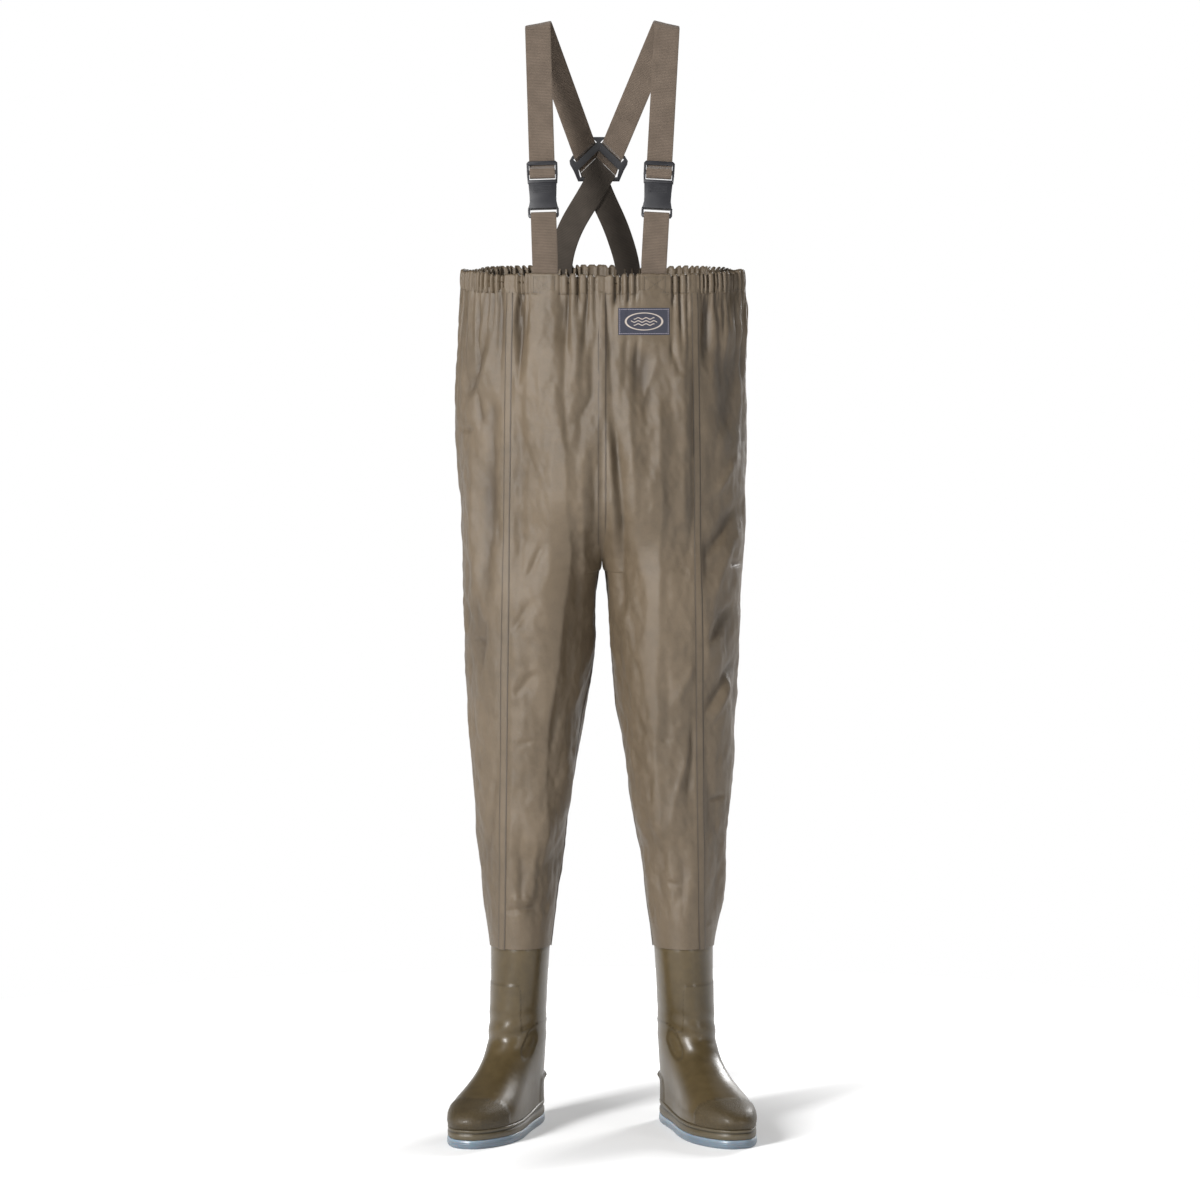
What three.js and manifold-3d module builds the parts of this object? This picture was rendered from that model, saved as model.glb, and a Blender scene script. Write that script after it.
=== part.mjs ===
// Chest waders: a gathered waistband, two coated-fabric legs welded over moulded boots, and crossed
// shoulder straps with side-release buckles.
// Millimetres, +Z up. The origin is on the floor under the middle of the waders; the front faces -Y
// and +X is the wearer's left. Side is -1 for the wearer's right and +1 for the wearer's left.
import * as THREE from 'three';
import { mergeVertices } from 'three/addons/utils/BufferGeometryUtils.js';
import Module from 'manifold-3d';

const wasm = await Module();
wasm.setup();

// ---- Driving dimensions ----
const fitGap = 0.3; // between pieces that touch on the real thing
const jointGap = 0.5; // each side of a line where the fabric bends
const fabric = 1.6; // coated fabric wall
const tape = { width: 15, thickness: 1 };
const bodyY = 42; // the legs and torso stand behind the middle of the feet

const cuffBottom = 277; // where the fabric ends on the boot
const cuffTop = 325;
const kneeHeight = 560;
const crotchHeight = 845;
const crotchRise = 62; // height in which the crotch seam reaches the front and back
const seatFullness = 0.5; // keeps the seat as deep where the two legs join
const rimHeight = 1290; // front of the waist
const rimBackRise = 12; // the back of the waist stands this much higher
const strapTop = 1665;

const cuffWidth = 93;
const calfWidth = 128;
const kneeWidth = 160;
const midThighWidth = 190;
const thighWidth = 204;
const hipWidth = 438;
const waistWidth = 422;
const cuffDepth = 132;
const kneeDepth = 170;
const thighDepth = 224;
const hipDepth = 258;
const waistDepth = 230;
const cuffInnerX = 77; // from the middle to the inside of the leg
const kneeInnerX = 37;
const crotchInnerX = 7;
const outerSeamX = { waist: 137, cuff: 151 }; // the front outer seam, from the middle

const casing = { height: 30, elasticHeight: 26, elasticThickness: 1.2 };
const patch = { width: 76, height: 40, thickness: 1, x: 62, z: 1221 };

const footLength = 300;
const heelReach = 70; // heel back to the ankle's axis
const footWidth = 106;
const toeOut = THREE.MathUtils.degToRad(20);
const ankleHeight = 127;
const ankleWidth = 79.5;
const bootWall = 4;
const outsoleHeight = 13;
const midsoleHeight = 15;
const insoleThickness = 4;
const randOverhang = 3;

const webbing = { width: 38, thickness: 1.5 };
const strapWaistX = { right: 86, left: 78 };
const strapTopX = { right: 96, left: 97 };
const foldRadius = 10;
const sewnDepth = 26; // how far a strap end is sewn down inside the waistband

const buckle = {
  foot: 86, sideBar: 4, thickness: 13, barThickness: 4.4, bar: 6,
  lowerSlot: 7, socketLength: 38.7, shoulder: 4.5, loopSlot: 9.5, entrySlot: 8,
  bodyWidth: webbing.width + 4, cavityWidth: webbing.width - 3,
  cavityThickness: 8.4, floor: 5, prongLength: 27, tailLength: 112,
};
buckle.width = webbing.width + 2 * buckle.sideBar;
const plate = {
  x: -5, z: 1463, thickness: 3, halfTop: 10.5, topHeight: 34, bottomHeight: webbing.width - 3.5,
  outerBar: 5, slot: 6, innerBar: 10.5, slotEase: 3.2, bottomBar: 6, lobe: 5.8, sideBar: 13.5,
};
const elasticThickness = 1.5;
// Centre lines of the elastics from the plate to the back of the waist: share of the drop, x.
const elasticRoute = {
  left: [[0.28, -18], [0.6, -49], [0.92, -64.5]],
  right: [[0.28, -3], [0.6, 21.6], [0.92, 37.5]],
};
const elasticEndX = { left: -66, right: 42 };

// ---- Finishes ----
const finish = (color, roughness) => () =>
  new THREE.MeshStandardMaterial({ color, roughness, metalness: 0 });
const nylon = finish(0x8a7c66, 0.55);
const seamTape = finish(0x827560, 0.5);
const ribbedWebbing = finish(0x756656, 0.85);
const smoothElastic = finish(0x4f473f, 0.8);
const plastic = finish(0x1b1b1f, 0.4);
const bootPvc = finish(0x5c4f38, 0.3);
const randPvc = finish(0x6a5c44, 0.35);
const soleRubber = finish(0x798590, 0.4);
const innerFelt = finish(0x3c3a36, 0.95);
const patchCloth = finish(0x2c2c44, 0.8);

// ---- Building blocks ----
const vector = (x, y, z) => new THREE.Vector3(x, y, z);
const { lerp, clamp } = THREE.MathUtils;
const steps = (from, to, count) =>
  Array.from({ length: count + 1 }, (_, i) => lerp(from, to, i / count));

// A smooth curve through [position, value] points, held level past both ends.
function profile(points) {
  const last = points.length - 1;
  const slope = (i) => {
    const [a, b] = [points[Math.max(i - 1, 0)], points[Math.min(i + 1, last)]];
    return (b[1] - a[1]) / (b[0] - a[0]);
  };
  return (at) => {
    const next = points.findIndex(([position]) => position >= at);
    if (next < 1) return points[next < 0 ? last : 0][1];
    const [a, b] = [points[next - 1], points[next]];
    const span = b[0] - a[0];
    const t = (at - a[0]) / span;
    const rise = t * t * (3 - 2 * t);
    const bend = slope(next - 1) * t * (1 - t) ** 2 - slope(next) * t * t * (1 - t);
    return lerp(a[1], b[1], rise) + span * bend;
  };
}

// A closed solid through sections of equal, even length. The two ends are closed by strips that
// join the first half of a section to its second half, unless the sections run round in a loop.
// Both halves are cut along the same diagonals, so that a twisted wall keeps its thickness.
function loft(sections, loop = false) {
  const size = sections[0].length;
  const positions = sections.flat().flatMap((point) => [point.x, point.y, point.z]);
  const faces = [];
  const quad = (a, b, c, d) => faces.push(a, b, c, a, c, d);
  const rows = loop ? sections.length : sections.length - 1;
  for (let row = 0; row < rows; row++) {
    const [low, high] = [row * size, ((row + 1) % sections.length) * size];
    for (let i = 0; i < size; i++) {
      const j = (i + 1) % size;
      if (i < size / 2) quad(low + i, low + j, high + j, high + i);
      else quad(low + j, high + j, high + i, low + i);
    }
  }
  if (!loop) {
    const top = (sections.length - 1) * size;
    for (let i = 0; i < size / 2 - 1; i++) {
      quad(size - 1 - i, size - 2 - i, i + 1, i);
      quad(top + i, top + i + 1, top + size - 2 - i, top + size - 1 - i);
    }
  }
  const geometry = new THREE.BufferGeometry();
  geometry.setAttribute('position', new THREE.Float32BufferAttribute(positions, 3));
  geometry.setIndex(signedVolume(positions, faces) < 0 ? faces.reverse() : faces);
  return geometry;
}

function signedVolume(positions, faces) {
  const corner = (i) => new THREE.Vector3().fromArray(positions, 3 * i);
  let volume = 0;
  for (let i = 0; i < faces.length; i += 3) {
    const [a, b, c] = [corner(faces[i]), corner(faces[i + 1]), corner(faces[i + 2])];
    volume += a.dot(b.cross(c)) / 6;
  }
  return volume;
}

function toSolid(geometry) {
  const bare = geometry.clone();
  for (const name of Object.keys(bare.attributes)) {
    if (name !== 'position') bare.deleteAttribute(name);
  }
  const merged = mergeVertices(bare, 1e-3);
  const mesh = new wasm.Mesh({
    numProp: 3,
    vertProperties: new Float32Array(merged.attributes.position.array),
    triVerts: new Uint32Array(merged.index.array),
  });
  return new wasm.Manifold(mesh);
}

function toGeometry(solid) {
  const mesh = solid.getMesh();
  const geometry = new THREE.BufferGeometry();
  geometry.setAttribute('position', new THREE.BufferAttribute(mesh.vertProperties, 3));
  geometry.setIndex(new THREE.BufferAttribute(mesh.triVerts, 1));
  return geometry;
}

// A flat outline in x and z, extruded along y about y = 0.
function slab(outline, thickness) {
  const shape = new THREE.Shape(outline.map(([x, z]) => new THREE.Vector2(x, z)));
  const geometry = new THREE.ExtrudeGeometry(shape, { depth: thickness, bevelEnabled: false });
  return toSolid(geometry.translate(0, 0, -thickness / 2).rotateX(Math.PI / 2));
}

const block = (x0, x1, z0, z1, thickness) =>
  slab([[x0, z0], [x1, z0], [x1, z1], [x0, z1]], thickness);

// A strap of constant thickness through stations with a centre and a vector across the strap.
function ribbon(stations, thickness) {
  const sections = stations.map(({ centre, across }, i) => {
    const before = stations[Math.max(i - 1, 0)].centre;
    const after = stations[Math.min(i + 1, stations.length - 1)].centre;
    const along = after.clone().sub(before);
    const lift = across.clone().cross(along).setLength(thickness / 2);
    const corner = (side, face) =>
      centre.clone().addScaledVector(across, side / 2).addScaledVector(lift, face);
    return [corner(-1, -1), corner(1, -1), corner(1, 1), corner(-1, 1)];
  });
  return loft(sections);
}

const waders = new THREE.Group();
function add(name, geometry, material, parent = waders) {
  const mesh = new THREE.Mesh(geometry, material());
  mesh.name = name;
  parent.add(mesh);
}

const sides = [['right', -1], ['left', 1]];
const mirrored = (point, side) => vector(side * point.x, point.y, point.z);

// ---- The fabric body: one half, as a surface over an angle and a height ----
// The angle runs from the inside of the leg (0) over the front (90), the outside (180) and the back
// (270) to the inside again. Above the crotch the two ends are the centre front and centre back.
const legSpan = crotchHeight - cuffBottom;
const torsoSpan = rimHeight - crotchHeight;
const onLeg = (share) => cuffBottom + share * legSpan;
const onTorso = (share) => crotchHeight + share * torsoSpan;
const calfHeight = onLeg(0.264);
const midThighHeight = onLeg(0.792);
const legHalfWidth = profile([
  [cuffBottom, cuffWidth / 2], [calfHeight, calfWidth / 2], [kneeHeight, kneeWidth / 2],
  [midThighHeight, midThighWidth / 2], [crotchHeight, thighWidth / 2],
]);
const legInnerX = profile([
  [cuffBottom, cuffInnerX], [calfHeight, lerp(cuffInnerX, kneeInnerX, 0.47)],
  [kneeHeight, kneeInnerX], [midThighHeight, lerp(kneeInnerX, crotchInnerX, 0.7)],
  [crotchHeight, crotchInnerX],
]);
const legHalfDepth = profile([
  [cuffBottom, cuffDepth / 2], [kneeHeight, kneeDepth / 2],
  [midThighHeight, lerp(kneeDepth, thighDepth, 0.67) / 2], [crotchHeight, thighDepth / 2],
]);
const torsoHalfWidth = profile([
  [crotchHeight, crotchInnerX + thighWidth], [onTorso(0.55), hipWidth / 2],
  [onTorso(0.8), lerp(hipWidth, waistWidth, 0.15) / 2],
  [rimHeight, waistWidth / 2],
]);
const torsoHalfDepth = profile([
  [crotchHeight, lerp(thighDepth, hipDepth, 0.35) / 2], [onTorso(0.45), hipDepth / 2],
  [rimHeight, waistDepth / 2],
]);
const legCentreX = (height) => legInnerX(height) + legHalfWidth(height);

function halfBody(angle, height) {
  const halfWidth = legHalfWidth(height);
  const leg = vector(
    legCentreX(height) - halfWidth * Math.cos(angle),
    bodyY - legHalfDepth(height) * Math.sin(angle),
    height,
  );
  const torso = vector(
    torsoHalfWidth(height) * Math.sin(angle / 2),
    bodyY - torsoHalfDepth(height) * Math.cos(angle / 2),
    height,
  );
  const rise = clamp((height - crotchHeight) / crotchRise, 0, 1);
  const joined = Math.sqrt(1 - (1 - rise) ** 2);
  const point = leg.lerp(torso, joined);
  point.y = bodyY + (point.y - bodyY) * (1 + seatFullness * joined * (1 - joined));
  return point;
}

function bodyNormal(angle, height) {
  const step = 0.02;
  const round = halfBody(angle + step, height).sub(halfBody(angle - step, height));
  const up = halfBody(angle, height + 1).sub(halfBody(angle, height));
  const normal = round.cross(up);
  if (height > crotchHeight + crotchRise) normal.z = 0; // keeps the panels' top edges level
  return normal.normalize();
}

// A point lifted off the outside of the fabric; it never crosses the middle of the torso.
function offBody(angle, height, lift) {
  const point = halfBody(angle, height).addScaledVector(bodyNormal(angle, height), lift);
  point.x = Math.max(point.x, fitGap / 2);
  return point;
}

function angleAtX(x, height) {
  let [low, high] = [0, Math.PI];
  for (let i = 0; i < 40; i++) {
    const middle = (low + high) / 2;
    if (halfBody(middle, height).x < x) low = middle;
    else high = middle;
  }
  return low;
}

const seamAngle = (height) => {
  const share = (height - cuffBottom) / (rimHeight - cuffBottom);
  return angleAtX(lerp(outerSeamX.cuff, outerSeamX.waist, share), height);
};
const inset = (height) => fitGap / legHalfWidth(height);
const rimAt = (angle) => rimHeight + rimBackRise * (1 - Math.cos(angle / 2)) / 2;

// A thin wall on one side of the body: angles(height) gives its columns, outside surface first.
function bodyWall(side, heights, columns, lift, thickness) {
  return loft(heights.map((heightAt) => {
    const outside = columns.map((column) => {
      const [angle, height] = heightAt(column);
      return mirrored(offBody(angle, height, lift + thickness), side);
    });
    const inside = columns.map((column) => {
      const [angle, height] = heightAt(column);
      return mirrored(offBody(angle, height, lift), side);
    });
    return [...outside, ...inside.reverse()];
  }));
}

function panel(side, from, to, bottom, top, columnCount, shares) {
  const rows = shares.map((share) => (column) => {
    const edgeHeight = top(Math.PI);
    const topAngle = lerp(from(edgeHeight), to(edgeHeight), column);
    const height = lerp(bottom, top(topAngle), share);
    return [lerp(from(height), to(height), column), height];
  });
  return bodyWall(side, rows, steps(0, 1, columnCount), -fabric, fabric);
}

const fullTurn = 2 * Math.PI;
const frontFrom = (height) => inset(height);
const frontTo = (height) => seamAngle(height) - inset(height);
const backFrom = (height) => seamAngle(height) + inset(height);
const backTo = (height) => fullTurn - inset(height);
const torsoTop = (angle) => rimAt(angle) - casing.height - fitGap;
const torsoRows = [0, 0.012, 0.04, 0.08, 0.14, 0.28, 0.46, 0.64, 0.82, 0.91, 1];
const legRows = steps(0, 1, 5);
const legStretches = [
  ['thigh', kneeHeight + jointGap, crotchHeight - jointGap],
  ['shin', cuffTop + jointGap, kneeHeight - jointGap],
];
for (const [name, side] of sides) {
  const hip = crotchHeight + jointGap;
  add(`${name}_front_torso_panel`,
    panel(side, frontFrom, frontTo, hip, torsoTop, 9, torsoRows), nylon);
  add(`${name}_back_torso_panel`,
    panel(side, backFrom, backTo, hip, torsoTop, 14, torsoRows), nylon);
  for (const [stretch, bottom, top] of legStretches) {
    add(`${name}_front_${stretch}_panel`,
      panel(side, frontFrom, frontTo, bottom, () => top, 8, legRows), nylon);
    add(`${name}_back_${stretch}_panel`,
      panel(side, backFrom, backTo, bottom, () => top, 14, legRows), nylon);
  }
}

// ---- Welded seam tapes ----
// A tape centred on a seam of one leg or side; its columns are a fixed distance each way.
function seamTapeWall(side, seam, bottom, top, shares) {
  const rows = shares.map((share) => lerp(bottom, top, share)).map((height) => (column) =>
    [seam(height) + column * tape.width / 2 / legHalfWidth(height), height]);
  return bodyWall(side, rows, [-1, 0, 1], fitGap, tape.thickness);
}

// A tape over the centre front or back of the torso, across both sides.
function centreTape(end, bottom, top) {
  return loft(steps(bottom, top, 12).map((height) => {
    const edge = angleAtX(tape.width / 2, height);
    const row = (lift) => [-1, 0, 1].map((column) => {
      const angle = Math.abs(column) * edge;
      const point = halfBody(end === 'front' ? angle : fullTurn - angle, height);
      const out = end === 'front' ? -1 : 1;
      point.y += out * lift;
      return vector(column * point.x, point.y, height);
    });
    return [...row(fitGap + tape.thickness), ...row(fitGap).reverse()];
  }));
}

const centreTapeBottom = crotchHeight + crotchRise;
add('centre_front_seam_tape',
  centreTape('front', centreTapeBottom, torsoTop(0) - fitGap), seamTape);
add('centre_back_seam_tape',
  centreTape('back', centreTapeBottom, torsoTop(fullTurn) - fitGap), seamTape);
for (const [name, side] of sides) {
  const torsoSeamTop = torsoTop(seamAngle(rimHeight)) - fitGap;
  add(`${name}_torso_seam_tape`,
    seamTapeWall(side, seamAngle, crotchHeight + jointGap, torsoSeamTop, torsoRows), seamTape);
  for (const [stretch, bottom, top] of legStretches) {
    add(`${name}_outer_${stretch}_tape`,
      seamTapeWall(side, seamAngle, bottom, top, legRows), seamTape);
    add(`${name}_inner_${stretch}_tape`,
      seamTapeWall(side, () => 0, bottom, top, legRows), seamTape);
  }
}

// ---- Waistband: a folded casing, open below, with the elastic inside it ----
// A ring round the waist; the profile is a list of [depth under the outside, drop from the rim].
function waistRing(outline) {
  const turns = steps(0, fullTurn, 48).slice(0, -1);
  return loft(turns.map((turn) => outline.map(([depth, drop]) => {
    const height = rimAt(2 * turn > fullTurn ? 2 * (fullTurn - turn) : 2 * turn);
    const shape = height - rimBackRise * (1 - Math.cos(turn)) / 2 - drop;
    const halfWidth = torsoHalfWidth(shape);
    const halfDepth = torsoHalfDepth(shape);
    const out = vector(Math.sin(turn) / halfWidth, -Math.cos(turn) / halfDepth, 0).normalize();
    return vector(halfWidth * Math.sin(turn), bodyY - halfDepth * Math.cos(turn), height - drop)
      .addScaledVector(out, -depth);
  })), true);
}

const tunnelDepth = casing.elasticThickness + 2 * fitGap;
const casingDepth = 2 * fabric + tunnelDepth;
add('waistband_casing', waistRing([
  [0, casing.height], [0, 0], [casingDepth, 0], [casingDepth, casing.height],
  [casingDepth - fabric, casing.height], [casingDepth - fabric, fabric], [fabric, fabric],
  [fabric, casing.height],
]), nylon);
const elasticTopDrop = fabric + fitGap;
add('waist_elastic', waistRing([
  [fabric + fitGap, elasticTopDrop + casing.elasticHeight], [fabric + fitGap, elasticTopDrop],
  [fabric + fitGap + casing.elasticThickness, elasticTopDrop],
  [fabric + fitGap + casing.elasticThickness, elasticTopDrop + casing.elasticHeight],
]), smoothElastic);

// ---- Label patch on the left front ----
const patchRows = steps(patch.z - patch.height / 2, patch.z + patch.height / 2, 2)
  .map((height) => (column) =>
    [angleAtX(patch.x + column * patch.width / 2, height), height]);
add('label_patch',
  bodyWall(1, patchRows, steps(-1, 1, 6), fitGap, patch.thickness), patchCloth);

// ---- Boots: cuffs, shells, midsoles, outsoles and insoles ----
const legColumns = 28; // round a boot and its cuff, a multiple of 4
const toeReach = footLength - heelReach;
const soleTop = outsoleHeight + midsoleHeight;
const shaftTop = cuffTop - 10;
const ankleX = cuffInnerX + cuffWidth - ankleWidth / 2;
// How far the boot reaches ahead of the ankle's axis at a height, as a share of the toe's reach.
const frontReach = profile([
  [soleTop - 1, 0.95], [soleTop + 12, 0.98], [soleTop + 25, 0.93], [soleTop + 35, 0.82],
  [soleTop + 46, 0.68], [soleTop + 58, 0.55], [soleTop + 72, 0.44], [soleTop + 90, 0.355],
  [ankleHeight + 10, 0.29],
]);
const bootHalfWidth = profile([
  [ankleHeight, ankleWidth / 2], [cuffBottom, cuffWidth / 2 - fabric - fitGap],
]);
const bootHalfDepth = profile([
  [ankleHeight, 61], [cuffBottom - 60, 62], [cuffBottom, cuffDepth / 2 - fabric - fitGap],
]);
const footShare = (height) => clamp((ankleHeight + 5 - height) / (ankleHeight - soleTop - 14), 0, 1);
const footHalfWidth = profile([
  [-heelReach, 0.68], [-0.2 * toeReach, 0.7], [0.15 * toeReach, 0.7], [0.5 * toeReach, 0.93],
  [0.68 * toeReach, 1], [0.88 * toeReach, 0.93], [toeReach, 0.84],
]);

// The outline of the boot at a height, all round, grown or shrunk by an offset.
function bootSection(side, height, offset, at = height) {
  const foot = footShare(height) ** 0.8;
  const inLeg = height > cuffBottom;
  const halfWidth = inLeg ? legHalfWidth(height) - fabric - fitGap : bootHalfWidth(height);
  const shaftDepth = inLeg ? legHalfDepth(height) - fabric - fitGap : bootHalfDepth(height);
  const front = offset + (height > ankleHeight + 10 ? shaftDepth
    : Math.max(frontReach(height) * toeReach, shaftDepth));
  const heel = offset + lerp(shaftDepth, heelReach - 2, foot);
  const turn = toeOut * clamp((cuffBottom - 20 - height) / (cuffBottom - 20 - ankleHeight), 0, 1);
  const centreX = inLeg ? legCentreX(height)
    : Math.min(cuffInnerX + cuffWidth - bootHalfWidth(height) - fabric - fitGap, ankleX);
  return steps(0, fullTurn, legColumns).slice(0, -1).map((angle) => {
    const along = (front - heel) / 2 + (front + heel) / 2 * Math.cos(angle);
    const sine = Math.sin(angle);
    const footHalf = footHalfWidth(along) * footWidth / 2;
    const half = lerp(halfWidth, footHalf, foot) + offset;
    const sideways = Math.sign(sine) * Math.abs(sine) ** lerp(1, 0.72, foot) * half;
    return vector(
      side * (centreX + along * Math.sin(turn) + sideways * Math.cos(turn)),
      bodyY - along * Math.cos(turn) + sideways * Math.sin(turn),
      at,
    );
  });
}

const bootHeights = [0, 12, 25, 35, 46, 58, 72, 90].map((rise) => soleTop + fitGap + rise)
  .concat([ankleHeight + 12, 165, 210, 250, cuffBottom, shaftTop]);
const skinRise = 3; // keeps the top of the foot as thick as its sides
for (const [name, side] of sides) {
  const outer = loft(bootHeights.map((height) => bootSection(side, height, 0)));
  const floor = soleTop + fitGap + bootWall;
  const innerHeights = bootHeights.filter((height) => height > floor);
  const inner = loft([
    bootSection(side, floor + skinRise, -bootWall, floor),
    ...innerHeights.map((height) => bootSection(side, height + skinRise, -bootWall, height)),
    bootSection(side, shaftTop, -bootWall, shaftTop + 5),
  ]);
  add(`${name}_boot_shell`, toGeometry(toSolid(outer).subtract(toSolid(inner))), bootPvc);

  const insoleTop = floor + fitGap + insoleThickness;
  const insole = (height) =>
    bootSection(side, floor + skinRise, -bootWall - 2 * fitGap, height);
  add(`${name}_insole`, loft([insole(floor + fitGap), insole(insoleTop)]), innerFelt);

  const soleEdge = (rise, grow) => bootSection(side, soleTop, grow, rise);
  add(`${name}_midsole`, loft([
    soleEdge(outsoleHeight + fitGap, randOverhang - 1),
    soleEdge(outsoleHeight + 5, randOverhang),
    soleEdge(outsoleHeight + 7, randOverhang - 1.5),
    soleEdge(outsoleHeight + 9, randOverhang),
    soleEdge(soleTop, randOverhang - 0.5),
  ]), randPvc);
  add(`${name}_outsole`, loft([
    soleEdge(0, randOverhang - 2), soleEdge(4, randOverhang + 1),
    soleEdge(outsoleHeight, randOverhang),
  ]), soleRubber);

  const cuffColumns = steps(0, fullTurn, legColumns).slice(0, -1);
  const cuffEdge = (height, lift) =>
    cuffColumns.map((angle) => mirrored(offBody(angle, height, lift), side));
  const cuffOutside = steps(cuffBottom, cuffTop - jointGap, 3).map((z) => cuffEdge(z, 0));
  const cuffInside = steps(cuffBottom, cuffTop - jointGap, 3).map((z) => cuffEdge(z, -fabric));
  const cuffRings = [...cuffOutside, ...cuffInside.reverse()];
  const cuffSections = cuffColumns.map((_, i) => cuffRings.map((ring) => ring[i]));
  add(`${name}_leg_cuff`, loft(cuffSections, true), nylon);
}

// ---- Straps: where each one leaves the waist, folds over the shoulder and meets the plate ----
// A flat strap end inside the curved waistband stands off it by the rise of the curve's arc.
const waistRadius = waistWidth ** 2 / (2 * waistDepth);
const facetGap = 0.45; // between the waistband's flats and its true curve
const arcRise = webbing.width ** 2 / (8 * waistRadius);
const sewnLayer = casingDepth + fitGap + facetGap + arcRise + webbing.thickness / 2;
const layerStep = webbing.thickness + fitGap;

// A point inside the waistband, at a distance in from its outside, and the direction round it.
function insideWaist(x, height, depth, back) {
  const halfWidth = torsoHalfWidth(height);
  const halfDepth = torsoHalfDepth(height);
  const sine = x / halfWidth;
  const cosine = (back ? -1 : 1) * Math.sqrt(1 - sine * sine);
  const out = vector(sine / halfWidth, -cosine / halfDepth, 0).normalize();
  const centre = vector(x, bodyY - halfDepth * cosine, height).addScaledVector(out, -depth);
  const round = vector(-out.y, out.x, 0);
  if (round.x < 0) round.negate();
  return { centre, across: round.setLength(webbing.width) };
}

const backWaistY = bodyY + waistDepth / 2 - sewnLayer;
const plateUp = vector(0, bodyY + foldRadius - backWaistY, strapTop - rimHeight - rimBackRise)
  .normalize();
const plateOut = vector(0, plateUp.z, -plateUp.y);
const plateDrop = (strapTop - plate.z) / plateUp.z;
const plateCentre = vector(plate.x, bodyY + foldRadius - plateUp.y * plateDrop, plate.z);
const onPlate = (p, q, out = 0) => plateCentre.clone()
  .add(vector(p, 0, 0)).addScaledVector(plateUp, q).addScaledVector(plateOut, out);

// Distances from the plate's middle to its bars, square to its 45 degree edges.
const diagonal = Math.SQRT1_2;
const plateEdge = (plate.halfTop + plate.topHeight) * diagonal;
const slotOuter = plateEdge - plate.outerBar;
const slotInner = slotOuter - plate.slot;
const openingEdge = slotInner - plate.innerBar;
const slotMiddle = (slotOuter + slotInner) / 2;
const slotP = (webbing.width + 3) / 2;
const slotQ = slotMiddle / diagonal - slotP;
const askew = 1.085; // a strap crosses its slot askew and covers this many widths of it
const slotReach = (askew * webbing.width + plate.slotEase) / 2;
const slotAlong = (slotQ - slotP) * diagonal;
const plateHalfWidth = (slotOuter - slotAlong + slotReach) * diagonal + plate.lobe;

function strapRoute(name, side) {
  const start = insideWaist(side * strapWaistX[name], rimHeight, sewnLayer + layerStep, false)
    .centre;
  const foldCentre = vector(side * strapTopX[name], bodyY, strapTop - webbing.thickness - foldRadius);
  const target = onPlate(side * slotP, slotQ, -plate.thickness / 2 - fitGap - webbing.thickness / 2);
  const axisX = vector(1, 0, 0);
  let up = foldCentre.clone().sub(start).normalize();
  let down = target.clone().sub(foldCentre).normalize();
  let route;
  for (let round = 0; round < 4; round++) {
    const across = axisX.clone().addScaledVector(up, -up.x).normalize();
    const back = up.clone().cross(across);
    const arcStart = foldCentre.clone().addScaledVector(back, -foldRadius);
    const turnOver = up.clone().sub(down).normalize();
    const axis = axisX.clone().addScaledVector(turnOver, -turnOver.x).normalize();
    const lead = Math.asin(axis.dot(up));
    const rise = up.clone().addScaledVector(axis, -axis.dot(up)).normalize();
    const fall = down.clone().addScaledVector(axis, -axis.dot(down)).normalize();
    const over = fall.clone().addScaledVector(rise, -rise.dot(fall)).normalize();
    const sweep = rise.angleTo(fall);
    const arc = steps(0, sweep, 8).map((turn) => {
      const along = rise.clone().multiplyScalar(Math.cos(turn))
        .addScaledVector(over, Math.sin(turn));
      const centre = arcStart.clone()
        .addScaledVector(rise, foldRadius * Math.sin(turn))
        .addScaledVector(over, foldRadius * (1 - Math.cos(turn)))
        .addScaledVector(axis, foldRadius * turn * Math.tan(lead));
      const width = axis.clone().multiplyScalar(Math.cos(lead))
        .addScaledVector(along, -Math.sin(lead)).setLength(webbing.width);
      return { centre, across: width };
    });
    route = { start, up, down, across, back, arcStart, arc };
    up = arcStart.clone().sub(start).normalize();
    down = target.clone().sub(arc[arc.length - 1].centre).normalize();
  }
  return route;
}

// ---- Buckles, in a frame with x across the strap, y to the back and z up along the strap ----
const socketTop = buckle.foot + buckle.bar + buckle.lowerSlot + buckle.socketLength;
const plugFoot = socketTop + fitGap;
const loopSlotBottom = plugFoot + buckle.shoulder;
const loopSlotTop = loopSlotBottom + buckle.loopSlot;
const entrySlotBottom = loopSlotTop + buckle.bar;
const entrySlotTop = entrySlotBottom + buckle.entrySlot;
const buckleTop = entrySlotTop + buckle.bar;
const strapLayer = buckle.barThickness / 2 + fitGap + webbing.thickness / 2;
const slotHalf = webbing.width / 2 + 0.6;

function socketHalf() {
  const { foot, width, bodyWidth, thickness, barThickness, bar, lowerSlot } = buckle;
  const slotTop = foot + bar + lowerSlot;
  const frame = slab([
    [-width / 2 + 2, foot], [width / 2 - 2, foot], [width / 2, foot + 3],
    [width / 2, slotTop], [width / 2 - 3, slotTop + 8], [-width / 2 + 3, slotTop + 8],
    [-width / 2, slotTop], [-width / 2, foot + 3],
  ], barThickness);
  const body = slab([
    [-width / 2 + 1, slotTop], [width / 2 - 1, slotTop], [bodyWidth / 2 - 1, slotTop + 10],
    [bodyWidth / 2 - 1, slotTop + 20], [bodyWidth / 2, socketTop], [-bodyWidth / 2, socketTop],
    [-bodyWidth / 2 + 1, slotTop + 20], [-bodyWidth / 2 + 1, slotTop + 10],
  ], thickness);
  const half = buckle.cavityWidth / 2;
  const cavity = block(-half, half, slotTop + buckle.floor, socketTop + 1, buckle.cavityThickness);
  const windows = block(-width, width, slotTop + 9, slotTop + 22, buckle.cavityThickness - 2);
  const slot = block(-slotHalf, slotHalf, foot + bar, slotTop, thickness);
  return frame.add(body).subtract(slot).subtract(cavity).subtract(windows);
}

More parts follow.
